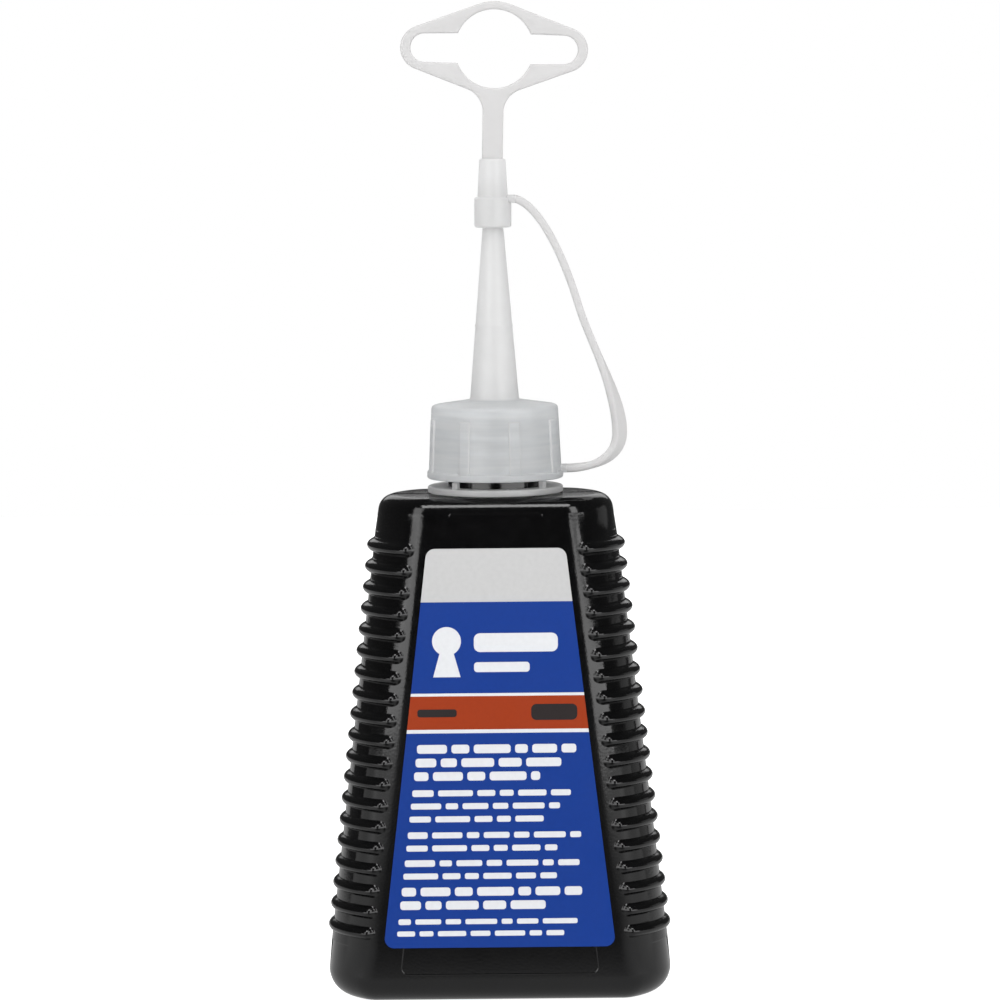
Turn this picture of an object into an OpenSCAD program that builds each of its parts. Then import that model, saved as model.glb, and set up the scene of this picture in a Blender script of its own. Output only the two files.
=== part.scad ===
// Squeeze bottle for dry graphite lubricant: a flat tapered bottle with ribbed sides, a screw cap
// drawn out into a long nozzle, and a strapped tip closure that carries a hang tab.
// Millimetres. The origin is the middle of the base, +Z is up and the label faces -Y.

/* [Bottle body] */
// Height of the shoulder above the base
body_h = 97; // [80:1:130]
// Width that the leaning sides would have at the level of the base
base_w = 66.8; // [58:0.2:80]
// Width that the leaning sides would have at the level of the shoulder
shoulder_w = 44; // [40:0.2:54]
// Depth of the body from front to back
body_d = 27; // [25:0.5:36]
// Radius of the upright corners, seen from above
corner_r = 6; // [5.6:0.2:8]
// Radius of the bowed sides, seen from above
side_r = 16; // [15:0.5:24]
// Radius of the edge round the shoulder
shoulder_r = 3.2; // [2:0.1:4]
// Radius of the edge round the base
base_r = 5.4; // [4:0.1:5.5]
// Wall of the blown body
wall = 1; // [0.8:0.1:1.6]
// Depth of the recess under the base
recess_depth = 1.2; // [0.6:0.1:2]
// Width of the flat rim that the bottle stands on
rim_w = 3.5; // [2:0.5:4]

/* [Ribbed belt] */
// Height of the belt's lower edge
belt_low_z = 10.8; // [9:0.1:12]
// Drop from the shoulder to the belt's upper edge
belt_drop = 7; // [5:0.5:9]
// How far the belt stands out of the plinth and the shoulder
belt_proud = 0.15; // [0.1:0.01:0.4]
// Ribs on each side
rib_count = 19; // [8:1:20]
// Height of the lowest rib
rib_low_z = 13.6; // [11:0.2:20]
// Drop from the shoulder to the highest rib
rib_drop = 9.7; // [9:0.1:20]
// Thickness of a rib
rib_w = 1.9; // [1.2:0.1:2.4]
// How far a rib stands out of the side
rib_proud = 1.35; // [0.9:0.05:1.6]
// Turn of a rib from the middle of the side to each of its tips, in degrees
rib_wrap = 70; // [60:1:84]

/* [Neck] */
// Diameter of the plain neck
neck_d = 18.2; // [17:0.1:19]
// Diameter over the thread
thread_d = 21.2; // [20:0.1:22]
// Height of the threaded stretch
thread_h = 9; // [6:0.5:9.5]
// Height of the neck above the shoulder
neck_h = 15.4; // [14:0.2:20]
// Diameter of the mouth
mouth_d = 14.8; // [12:0.1:15]
// Diameter of the step under the tamper ring
step_d = 21; // [20:0.2:24]
// Height of the step under the tamper ring
step_h = 0.1; // [0.1:0.1:1.5]

/* [Powder] */
// Drop from the shoulder to the level of the powder
powder_drop = 23; // [16:1:60]

/* [Label] */
// Height of the label's lower edge
label_low_z = 11.1; // [9:0.1:20]
// Drop from the shoulder to the label's upper edge
label_drop = 9.3; // [8:0.1:36]
// Distance from the label's edges to the outermost lines of the sides
label_margin = 9.85; // [9:0.05:14]
// Radius of the label's corners
label_corner_r = 1.8; // [1:0.1:3]
// Thickness of the label
label_t = 0.15; // [0.1:0.01:0.3]

/* [Tamper ring] */
// Outer diameter of the ring
ring_d = 26; // [25:0.2:28]
// Thickness of the ring
ring_t = 1.3; // [1.2:0.05:2]
// Bridges between the ring and the cap
bridge_count = 4; // [3:1:8]
// Width of a bridge
bridge_w = 1.2; // [0.8:0.1:2]
// Height of a bridge
bridge_h = 1.3; // [0.5:0.05:1.6]

/* [Spout cap] */
// Height of the cap from its lower rim to the top of its skirt
cap_h = 14; // [13:0.1:17]
// Diameter of the skirt above the rim
skirt_low_d = 25.5; // [25:0.1:27]
// Diameter of the skirt at its top
skirt_high_d = 24.3; // [24:0.1:26]
// Diameter of the rim
cap_rim_d = 26.2; // [26:0.1:28]
// Height of the rim
cap_rim_h = 1.5; // [1:0.1:2]
// Radius of the edge between the skirt and the top
cap_edge_r = 0.8; // [0.6:0.1:1.6]
// Thickness of the cap's top
cap_top_t = 1; // [0.8:0.1:1.6]
// Rise of the sloped top from the skirt to the nozzle
cap_crown_h = 1.1; // [0.8:0.1:2.5]
// Grip bars round the skirt
grip_count = 8; // [4:1:12]
// Width of a grip bar
grip_w = 2.3; // [1.5:0.1:3]
// How far a grip bar stands out of the skirt
grip_proud = 0.35; // [0.2:0.05:0.5]
// Height of a grip bar
grip_h = 10; // [6:0.1:10.5]

/* [Nozzle] */
// Length of the nozzle above the cap
nozzle_h = 41.9; // [30:0.1:45]
// Outer diameter of the nozzle at its foot
nozzle_low_d = 9.4; // [8:0.1:10]
// Outer diameter of the nozzle at its tip
nozzle_tip_d = 2.5; // [2.2:0.1:3.4]
// Wall of the nozzle at its foot
nozzle_low_wall = 1.1; // [0.8:0.1:1.4]
// Diameter of the outlet at the tip
outlet_d = 1.2; // [0.8:0.1:1.4]

/* [Tip closure] */
// Length of nozzle that the closure covers
closure_cover = 8.9; // [7:0.1:12]
// Diameter of the collar
collar_d = 7.1; // [6.8:0.1:8]
// Height of the collar
collar_h = 5.8; // [4.5:0.1:6.5]
// Diameter of the sleeve where it leaves the collar
sleeve_low_d = 5.8; // [5.4:0.1:6.6]
// Diameter of the sleeve at its top
sleeve_high_d = 5; // [4.8:0.1:5.4]
// Height of the sleeve
sleeve_h = 7.4; // [6:0.1:9]

/* [Hang tab] */
// Thickness of the tab
tab_t = 1.6; // [1.2:0.1:2]
// Width of the stem
stem_w = 4; // [3:0.1:4.4]
// Height of the round opening's centre above the stem's foot
tab_centre_h = 20.9; // [19:0.1:26]
// Diameter of the round opening
eye_d = 15; // [12:0.1:16]
// Width of plate round the round opening
eye_wall = 1.55; // [1:0.05:2]
// Length of the hanging slot
slot_l = 32; // [30:0.5:34]
// Height of the slot at its ends
slot_end_h = 5.4; // [4.4:0.1:5.6]
// Height of the slot where it meets the round opening
slot_mid_h = 6; // [5.6:0.1:6.4]
// Width of plate past the slot's ends
slot_wall = 1.95; // [1:0.05:2.5]
// Radius of the plate's outer ends
tab_end_r = 4.3; // [3.8:0.1:4.6]
// Radius of the hollow flare between the stem and the plate
flare_r = 4.6; // [3:0.1:5]

/* [Strap] */
// Width of the strap
strap_w = 4; // [3:0.1:4.4]
// Thickness of the strap
strap_t = 1.45; // [1:0.05:1.6]
// Distance from the axis to the strap's outermost point
strap_reach = 24; // [20:0.1:26]
// Height of the strap's outermost point above its root on the cap
strap_bend_h = 6.8; // [6:0.1:12]
// Turn of the strap about its own line at the outer bend, in degrees
strap_twist = 30; // [0:1:45]

/* [Hidden] */
$fn = 64;

// Steps in each rounded corner and edge of the lofted body
corner_steps = 9;
edge_steps = 8;
// Overrun of every cut
overrun = 1;
// Clearance between pieces that turn or slide on each other
running_gap = 0.2;
// Clearance between the tip closure and the nozzle
plug_gap = 0.12;
// Clearance between pieces that come apart at a torn or moulded line
parting_gap = 0.15;
// Clearance round the powder
powder_gap = 0.2;

// Lean of the sides, and the place of the upright corners
lean = atan((base_w - shoulder_w) / 2 / body_h);
corner_y = body_d / 2 - corner_r;
// Turn of a bowed side from its middle to each corner, and how far the corners' centres lie in from it
bow_angle = asin(corner_y / (side_r - corner_r));
corner_in = side_r - (side_r - corner_r) * cos(bow_angle);
belt_high_z = body_h - belt_drop;
rib_step = (body_h - rib_drop - rib_low_z) / (rib_count - 1);
rib_root = wall / 2;
// Share of a rib's height that stands straight before it rounds over
rib_flank_share = 0.4;
// Share of a rib's thickness left flat along its crest
rib_crest_share = 0.45;
body_floor = recess_depth + wall;
powder_z = body_h - powder_drop;
label_high_z = body_h - label_drop;

// Levels up the neck
step_z = body_h + step_h;
ring_z = step_z + parting_gap;
ring_top_z = ring_z + ring_t;
cap_z = ring_top_z + bridge_h + parting_gap;
neck_z = body_h + neck_h;
lip_h = 1.6;
thread_chamfer = (thread_d - neck_d) / 2;
thread_high_z = neck_z - lip_h;
thread_low_z = thread_high_z - thread_h;
neck_root_h = shoulder_r + wall;

// Tamper ring
ring_bore_d = neck_d + 2 * running_gap;
bridge_r = (ring_d + ring_bore_d) / 4 + bridge_w / 2;
bridge_first_angle = -40;

// Spout cap
cap_bore_d = thread_d + 2 * running_gap;
ceiling_z = neck_z + running_gap;
cap_shoulder_z = cap_z + cap_h;
skirt_z = cap_z + cap_rim_h;
skirt_taper = atan((skirt_low_d - skirt_high_d) / 2 / (cap_h - cap_rim_h));
nozzle_z = max(cap_shoulder_z, ceiling_z + cap_top_t) + cap_crown_h;
nozzle_tip_z = nozzle_z + nozzle_h;
crown_slope = atan((nozzle_z - cap_shoulder_z) / (skirt_high_d / 2 - nozzle_low_d / 2));
nozzle_narrowing = (nozzle_low_d - nozzle_tip_d) / 2 / nozzle_h;
channel_low_r = nozzle_low_d / 2 - nozzle_low_wall;
grip_first_angle = -72.7;
grip_angle = 2 * asin(grip_w / skirt_low_d);

// Tip closure
closure_z = nozzle_tip_z - closure_cover;
collar_top_z = closure_z + collar_h;
closure_top_z = collar_top_z + sleeve_h;
collar_edge_r = 0.5;
sleeve_edge_r = 0.5;

// Hang tab
tab_foot_z = closure_top_z;
eye_r = eye_d / 2;
plate_r = eye_r + eye_wall;
plate_end_x = slot_l / 2 + slot_wall - tab_end_r;

// Strap: where it leaves the closure and where it meets the cap
lug_l = 1;
strap_from = [collar_d / 2 + lug_l + parting_gap, collar_top_z - strap_t / 4];
strap_to = [cap_rim_d / 2 + lug_l, skirt_z + strap_t / 8];
strap_bend = [strap_reach, strap_to[1] + strap_bend_h];
strap_rings = 13;
// Waist of the long run from the closure to the outer bend, as shares of its width and height
waist_shares = [0.597, 0.452];
// Handles of the run down to the waist, as shares of its width and height
upper_from_shares = [0.4, 0.066];
upper_to_shares = [0.2, 0.393];
// Handles of the run from the waist to the outer bend: of the handle before it, and of its own height
middle_from_share = 0.875;
middle_to_share = 0.304;
// Handles of the short lower run, as shares of its width and height
lower_from_share = 0.6;
lower_to_share = 0.646;
// Share of the run above the outer bend over which the strap twists
twist_share = 0.68;
// Share of the strap's thickness taken off its long edges
strap_edge_share = 0.3;

// Half of the body's width at a height
function half_w(z) = base_w / 2 - z * tan(lean);

// Outer radius of the nozzle at a height
function nozzle_r(z) = nozzle_tip_d / 2 + (nozzle_tip_z - z) * nozzle_narrowing;

// Radius of the skirt at a height
function skirt_r(z) = skirt_low_d / 2 - (z - skirt_z) * tan(skirt_taper);

// Direction at an angle from +X
function heading(angle) = [cos(angle), sin(angle)];

// Point of a cubic curve with two handles
function curve_point(a, b, c, d, t) =
    pow(1 - t, 3) * a + 3 * pow(1 - t, 2) * t * b + 3 * (1 - t) * t * t * c + pow(t, 3) * d;

// Direction of that curve
function curve_heading(a, b, c, d, t) =
    let (v = pow(1 - t, 2) * (b - a) + 2 * (1 - t) * t * (c - b) + t * t * (d - c)) v / norm(v);

// Level outline of the body: flat front and back, bowed sides and round corners, starting at +X
function body_ring(half_x, half_y, r, z) =
    [for (quarter = [0 : 3], i = [0 : corner_steps])
        let (
            step = quarter % 2 == 0 ? i : corner_steps - i,
            share = (step + 1 / 2) / (corner_steps + 1 / 2),
            angle = 90 * share,
            side = quarter == 0 || quarter == 3 ? 1 : -1,
            face = quarter < 2 ? 1 : -1,
            bow_r = r + side_r - corner_r,
            p = angle < bow_angle
                ? bow_r * heading(angle)
                : (side_r - corner_r) * heading(bow_angle) + r * heading(angle)
        )
        [side * (half_x - bow_r + p[0]), face * (half_y - r - corner_y + p[1]), z]];

// Outlines up one rounded edge of the body, between two angles of the edge's own section
function edge_rings(inset, edge_r, z, from, to) =
    let (middle = half_w(z) - (inset + edge_r) / cos(lean), plan_r = corner_r - inset - edge_r)
    [for (i = [0 : edge_steps])
        let (
            angle = from + (to - from) * i / edge_steps,
            out = edge_r * cos(angle),
            out_y = abs(angle) <= lean ? edge_r : out
        )
        body_ring(middle + out, corner_y + plan_r + out_y, plan_r + out, z + edge_r * sin(angle))];

// Solid through a row of outlines that have equally many points
module lofted(rings) {
    sides = len(rings[0]);
    last = len(rings) - 1;
    polyhedron(
        points = [for (ring = rings) each ring],
        faces = concat(
            [[for (j = [0 : sides - 1]) j]],
            [
                for (i = [0 : last - 1], j = [0 : sides - 1])
                    let (a = i * sides + j, b = i * sides + (j + 1) % sides)
                        each [[a, a + sides, b + sides], [a, b + sides, b]]
            ],
            [[for (j = [sides - 1 : -1 : 0]) last * sides + j]]
        )
    );
}

// Tapered body with rounded corners and edges, drawn in from the outside by an inset
module blended_body(inset, low_z, high_z) {
    foot_r = base_r - inset;
    top_r = shoulder_r - inset;
    lofted(concat(
        edge_rings(inset, foot_r, low_z + foot_r, -90, lean),
        edge_rings(inset, top_r, high_z - top_r, lean, 90)
    ));
}

// Half of the body's plan, square to the leaning right side, whose outermost line is the Y axis
module side_plan(reach) {
    translate([-reach, -body_d / 2])
        square([reach - corner_in, body_d]);
    translate([-side_r, 0])
        intersection() {
            circle(side_r);
            polygon([
                [0, 0],
                2 * side_r * heading(-bow_angle),
                [2 * side_r, 0],
                2 * side_r * heading(bow_angle),
            ]);
        }
    for (face = [-1, 1])
        translate([-corner_in, face * corner_y])
            circle(corner_r);
}

// That plan drawn out along the lean of the right side
module leaning_prism() {
    translate([half_w(0), 0, 0])
        rotate([0, -lean, 0])
            translate([0, 0, -body_d])
                linear_extrude(2 * body_h)
                    side_plan(2 * base_w);
}

// Stretch of the body that carries the ribs and the label
module belt() {
    intersection() {
        leaning_prism();
        mirror([1, 0, 0])
            leaning_prism();
        translate([-base_w, -body_d, belt_low_z])
            cube([2 * base_w, 2 * body_d, belt_high_z - belt_low_z]);
    }
}

// Section of a rib, rooted in the wall, whose surface is the Y axis
module rib_section() {
    flank = rib_flank_share * rib_proud;
    crest = rib_crest_share * rib_w / 2;
    polygon([
        [-rib_root, -rib_w / 2],
        [flank, -rib_w / 2],
        [rib_proud, -crest],
        [rib_proud, crest],
        [flank, rib_w / 2],
        [-rib_root, rib_w / 2],
    ]);
}

// One rib round the right side: along the bowed side, then part of the way round both corners
module side_rib(z) {
    translate([half_w(z) - corner_in, 0, z]) {
        translate([corner_in - side_r, 0, 0])
            rotate([0, 0, -bow_angle])
                rotate_extrude(angle = 2 * bow_angle)
                    translate([side_r, 0])
                        rib_section();
        for (face = [0, 1])
            mirror([0, face, 0])
                translate([0, corner_y, 0])
                    rotate([0, 0, bow_angle])
                        rotate_extrude(angle = rib_wrap - bow_angle)
                            translate([corner_r, 0])
                                rib_section();
    }
}

// Neck, solid: the step, the plain stretch, the band that the thread fills and the lip
module neck() {
    rotate_extrude()
        polygon([
            [0, body_h - neck_root_h],
            [step_d / 2, body_h - neck_root_h],
            [step_d / 2, step_z],
            [neck_d / 2, step_z],
            [neck_d / 2, thread_low_z],
            [thread_d / 2, thread_low_z + thread_chamfer],
            [thread_d / 2, thread_high_z - thread_chamfer],
            [neck_d / 2, thread_high_z],
            [neck_d / 2, neck_z],
            [0, neck_z],
        ]);
}

// Long recess with round ends under the base
module base_recess() {
    recess_r = body_d / 2 - base_r - rim_w;
    end_x = half_w(0) - base_r - rim_w - recess_r;
    translate([0, 0, -overrun])
        linear_extrude(recess_depth + overrun) {
            square([2 * end_x, 2 * recess_r], center = true);
            for (side = [-1, 1])
                translate([side * end_x, 0])
                    circle(recess_r);
        }
}

// Blow-moulded bottle
module bottle() {
    color([0.03, 0.03, 0.035])
        difference() {
            union() {
                blended_body(belt_proud, 0, body_h);
                belt();
                for (side = [0, 1], i = [0 : rib_count - 1])
                    mirror([side, 0, 0])
                        side_rib(rib_low_z + i * rib_step);
                neck();
            }
            blended_body(wall, body_floor, body_h - wall);
            translate([0, 0, body_h - neck_root_h])
                cylinder(d = mouth_d, h = neck_root_h + neck_h + overrun);
            base_recess();
        }
}

// Charge of powder, the shape of the cavity up to its level
module graphite_powder() {
    color([0.2, 0.2, 0.21])
        blended_body(wall + powder_gap, body_floor + powder_gap, powder_z);
}

// Trapezoid with rounded corners, standing on the X axis
module rounded_trapezoid(low_w, high_w, h, r) {
    tilt = atan((low_w - high_w) / 2 / h);
    foot_x = low_w / 2 - r * tan(tilt) - r / cos(tilt);
    head_x = high_w / 2 + r * tan(tilt) - r / cos(tilt);
    foot = [foot_x, r];
    head = [head_x, h - r];
    right = [
        foot + r * heading(-90),
        foot + r * heading(tilt),
        head + r * heading(tilt),
        head + r * heading(90),
    ];
    left = [for (i = [len(right) - 1 : -1 : 0]) [-right[i][0], right[i][1]]];
    polygon(concat(right, left));
    for (side = [-1, 1], corner = [foot, head])
        translate([side * corner[0], corner[1]])
            circle(r);
}

// Adhesive label on the front
module label() {
    color([0.13, 0.25, 0.59])
        translate([0, -body_d / 2, label_low_z])
            rotate([90, 0, 0])
                linear_extrude(label_t)
                    rounded_trapezoid(
                        2 * (half_w(label_low_z) - label_margin),
                        2 * (half_w(label_high_z) - label_margin),
                        label_high_z - label_low_z,
                        label_corner_r
                    );
}

// Ring under the cap, with its torn-off bridges
module tamper_ring() {
    color([0.86, 0.88, 0.9]) {
        translate([0, 0, ring_z])
            difference() {
                cylinder(d = ring_d, h = ring_t);
                translate([0, 0, -overrun])
                    cylinder(d = ring_bore_d, h = ring_t + 2 * overrun);
            }
        for (i = [0 : bridge_count - 1])
            rotate([0, 0, bridge_first_angle + i * 360 / bridge_count])
                translate([bridge_r - bridge_w / 2, -bridge_w / 2, ring_top_z - ring_t / 2])
                    cube([bridge_w, bridge_w, ring_t / 2 + bridge_h]);
    }
}

// Half section of the cap and nozzle, outside
module cap_profile() {
    edge = [
        skirt_r(cap_shoulder_z - cap_edge_r) - cap_edge_r / cos(skirt_taper),
        cap_shoulder_z - cap_edge_r,
    ];
    polygon([
        [0, cap_z],
        [cap_rim_d / 2, cap_z],
        [cap_rim_d / 2, skirt_z],
        [skirt_r(skirt_z), skirt_z],
        edge + cap_edge_r * heading(skirt_taper),
        edge + cap_edge_r * heading(90 - crown_slope),
        [nozzle_low_d / 2, nozzle_z],
        [nozzle_tip_d / 2, nozzle_tip_z],
        [0, nozzle_tip_z],
    ]);
    translate(edge)
        circle(cap_edge_r);
}

// Half section of the space inside the cap and nozzle
module cap_hollow_profile() {
    polygon([
        [0, cap_z - overrun],
        [cap_bore_d / 2, cap_z - overrun],
        [cap_bore_d / 2, ceiling_z],
        [channel_low_r, ceiling_z],
        [channel_low_r, nozzle_z],
        [outlet_d / 2, nozzle_tip_z],
        [outlet_d / 2, nozzle_tip_z + overrun],
        [0, nozzle_tip_z + overrun],
    ]);
}

// One grip bar on the skirt
module grip_bar() {
    foot_r = skirt_r(skirt_z);
    head_r = skirt_r(skirt_z + grip_h);
    rotate([0, 0, -grip_angle / 2])
        rotate_extrude(angle = grip_angle)
            polygon([
                [cap_bore_d / 2 + running_gap, skirt_z],
                [foot_r + grip_proud, skirt_z],
                [head_r + grip_proud, skirt_z + grip_h],
                [cap_bore_d / 2 + running_gap, skirt_z + grip_h],
            ]);
}

// Screw cap drawn out into the nozzle, with the lug that the strap grows from
module spout_cap() {
    color([0.88, 0.9, 0.92]) {
        rotate_extrude()
            difference() {
                cap_profile();
                cap_hollow_profile();
            }
        for (i = [0 : grip_count - 1])
            rotate([0, 0, grip_first_angle + i * 360 / grip_count])
                grip_bar();
        translate([cap_bore_d / 2 + running_gap, -strap_w / 2, strap_to[1] - strap_t / 2])
            cube([strap_to[0] - cap_bore_d / 2 - running_gap, strap_w, strap_t]);
    }
}

// Half section of the tip closure, outside
module closure_profile() {
    collar_r = collar_d / 2;
    collar_x = collar_r - collar_edge_r;
    sleeve_x = sleeve_high_d / 2 - sleeve_edge_r;
    polygon([
        [0, closure_z],
        [collar_x, closure_z],
        [collar_r, closure_z + collar_edge_r],
        [collar_r, collar_top_z - collar_edge_r],
        [collar_x, collar_top_z],
        [sleeve_low_d / 2, collar_top_z],
        [sleeve_high_d / 2, closure_top_z - sleeve_edge_r],
        [sleeve_x, closure_top_z],
        [0, closure_top_z],
    ]);
    for (z = [closure_z + collar_edge_r, collar_top_z - collar_edge_r])
        translate([collar_x, z])
            circle(collar_edge_r);
    translate([sleeve_x, closure_top_z - sleeve_edge_r])
        circle(sleeve_edge_r);
}

// Plug-on closure for the nozzle's tip, with the lug that the strap grows from
module tip_closure() {
    socket_top_z = nozzle_tip_z + plug_gap;
    lug_x = nozzle_r(closure_z) + plug_gap + strap_t / 4;
    color([0.88, 0.9, 0.92]) {
        rotate_extrude()
            difference() {
                closure_profile();
                polygon([
                    [0, closure_z - overrun],
                    [nozzle_r(closure_z - overrun) + plug_gap, closure_z - overrun],
                    [nozzle_r(socket_top_z) + plug_gap, socket_top_z],
                    [0, socket_top_z],
                ]);
            }
        translate([lug_x, -strap_w / 2, strap_from[1] - strap_t / 2])
            cube([strap_from[0] - parting_gap - lug_x, strap_w, strap_t]);
    }
}

// Outline that a taut loop would take round a middle disc and a smaller disc at each end
module tapered_bar(mid_r, end_r, end_x) {
    tilt = asin((mid_r - end_r) / end_x);
    quarter = [[end_x, 0] + end_r * heading(90 - tilt), mid_r * heading(90 - tilt)];
    upper = concat(quarter, [for (i = [1 : -1 : 0]) [-quarter[i][0], quarter[i][1]]]);
    polygon(concat(upper, [for (i = [3 : -1 : 0]) [upper[i][0], -upper[i][1]]]));
    circle(mid_r);
    for (side = [-1, 1])
        translate([side * end_x, 0])
            circle(end_r);
}

// Flat hang tab on its stem
module hang_tab() {
    flare_x = stem_w / 2 + flare_r;
    flare_z = -sqrt(pow(plate_r + flare_r, 2) - pow(flare_x, 2));
    touch = plate_r / (plate_r + flare_r) * [flare_x, flare_z];
    color([0.88, 0.9, 0.92])
        translate([0, tab_t / 2, tab_foot_z + tab_centre_h])
            rotate([90, 0, 0])
                linear_extrude(tab_t)
                    difference() {
                        union() {
                            tapered_bar(plate_r, tab_end_r, plate_end_x);
                            translate([-stem_w / 2, -tab_centre_h])
                                square([stem_w, tab_centre_h - eye_r]);
                            difference() {
                                polygon([
                                    [-stem_w / 2, flare_z],
                                    [stem_w / 2, flare_z],
                                    touch,
                                    [0, -eye_r],
                                    [-touch[0], touch[1]],
                                ]);
                                for (side = [-1, 1])
                                    translate([side * flare_x, flare_z])
                                        circle(flare_r);
                            }
                        }
                        circle(eye_r);
                        tapered_bar(slot_mid_h / 2, slot_end_h / 2, slot_l / 2 - slot_end_h / 2);
                    }
}

// Corners of the strap's section: across its width, then through its thickness
function strap_section() =
    let (cut = strap_edge_share * strap_t, w = strap_w / 2, t = strap_t / 2)
    [[w - cut, -t], [w, -t + cut], [w, t - cut], [w - cut, t], [-w + cut, t], [-w, t - cut], [-w, -t + cut],
        [-w + cut, -t]];

// Points of the section at a place on the strap, turned about the strap's own line
function strap_ring(place, along, turn) =
    [for (p = strap_section())
        let (
            across = p[0] * cos(turn) - p[1] * sin(turn),
            through = p[0] * sin(turn) + p[1] * cos(turn)
        )
        [place[0] - along[1] * through, across, place[1] + along[0] * through]];

// Moulded band from the tip closure down to the cap's rim
module strap() {
    long_run = strap_bend - strap_from;
    upper_run = [waist_shares[0] * long_run[0], waist_shares[1] * long_run[1]];
    waist = strap_from + upper_run;
    into_waist = [upper_to_shares[0] * upper_run[0], upper_to_shares[1] * upper_run[1]];
    upper = [
        strap_from,
        strap_from + [upper_from_shares[0] * upper_run[0], upper_from_shares[1] * upper_run[1]],
        waist - into_waist,
        waist,
    ];
    middle = [
        waist,
        waist + middle_from_share * into_waist,
        [strap_bend[0], strap_bend[1] + middle_to_share * (waist[1] - strap_bend[1])],
        strap_bend,
    ];
    lower = [
        strap_bend,
        [strap_bend[0], strap_bend[1] + lower_from_share * (strap_to[1] - strap_bend[1])],
        [strap_to[0] + lower_to_share * (strap_bend[0] - strap_to[0]), strap_to[1]],
        strap_to,
    ];
    stations = [
        for (i = [0 : 3 * strap_rings])
            let (
                index = min(floor(i / strap_rings), 2),
                arm = [upper, middle, lower][index],
                t = i / strap_rings - index,
                from_bend = index == 2 ? t : (2 - index - t) / twist_share,
                turn = from_bend < 1 ? strap_twist * pow(cos(90 * from_bend), 2) : 0
            )
            [
                curve_point(arm[0], arm[1], arm[2], arm[3], t),
                i == 0 ? [1, 0] : curve_heading(arm[0], arm[1], arm[2], arm[3], t),
                turn,
            ]
    ];
    color([0.88, 0.9, 0.92])
        lofted([for (s = stations) strap_ring(s[0], s[1], s[2])]);
}

bottle();
label();
graphite_powder();
tamper_ring();
spout_cap();
strap();
tip_closure();
hang_tab();
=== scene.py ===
"""Dresses the squeeze bottle for dry graphite lubricant: plastics, a label and a studio.

Sizes in the classes are millimetres, and Blender's are metres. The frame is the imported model's
own: the origin is the middle of the base, +Z is up and the label faces -Y.
"""

import logging
import math
from collections.abc import Iterable, Sequence
from dataclasses import dataclass, field
from enum import Enum
from typing import Any

import bmesh
import bpy
from mathutils import Matrix, Vector


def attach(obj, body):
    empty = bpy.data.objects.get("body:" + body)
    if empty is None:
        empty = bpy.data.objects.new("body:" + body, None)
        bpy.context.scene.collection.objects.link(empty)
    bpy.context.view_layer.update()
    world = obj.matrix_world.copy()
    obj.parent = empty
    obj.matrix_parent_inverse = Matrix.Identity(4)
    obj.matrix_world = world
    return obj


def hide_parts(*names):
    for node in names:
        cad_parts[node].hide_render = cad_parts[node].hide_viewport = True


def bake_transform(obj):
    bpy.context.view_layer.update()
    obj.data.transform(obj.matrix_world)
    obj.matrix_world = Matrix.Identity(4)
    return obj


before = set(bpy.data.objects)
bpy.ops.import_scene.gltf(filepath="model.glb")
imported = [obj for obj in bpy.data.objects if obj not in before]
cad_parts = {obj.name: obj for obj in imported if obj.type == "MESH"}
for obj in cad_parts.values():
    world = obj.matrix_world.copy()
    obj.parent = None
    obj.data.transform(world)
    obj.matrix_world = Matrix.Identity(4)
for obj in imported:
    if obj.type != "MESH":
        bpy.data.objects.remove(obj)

LOG = logging.getLogger("squeeze_bottle")
MM = 0.001
WELD_MM = 0.002
SLIVER_MM = 0.001
NOISE_RANGE = (0.3, 0.7)
QUARTER = math.pi / 2
WHITE = (1, 1, 1, 1)

Point2 = tuple[float, float]
Point3 = tuple[float, float, float]
Colour = tuple[float, float, float]
Material = bpy.types.Material
Mesh = bpy.types.Mesh
Socket = bpy.types.NodeSocket


class Body(Enum):
    """Rigid bodies that pieces ride on."""

    BOTTLE = "bottle"
    RING = "tamper_ring"
    CAP = "spout_cap"
    CLOSURE = "tip_closure"


class Slot(Enum):
    """Material slots of the record, passed along with each piece."""

    BLACK = "black_polyethylene"
    NATURAL = "natural_polyethylene"
    LABEL = "label_sheet"


class Ink(Enum):
    """Print layers of the label, in the order of its material slots."""

    STOCK = 0
    BLUE = 1
    ORANGE = 2
    WHITE = 3
    DARK = 4


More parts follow.
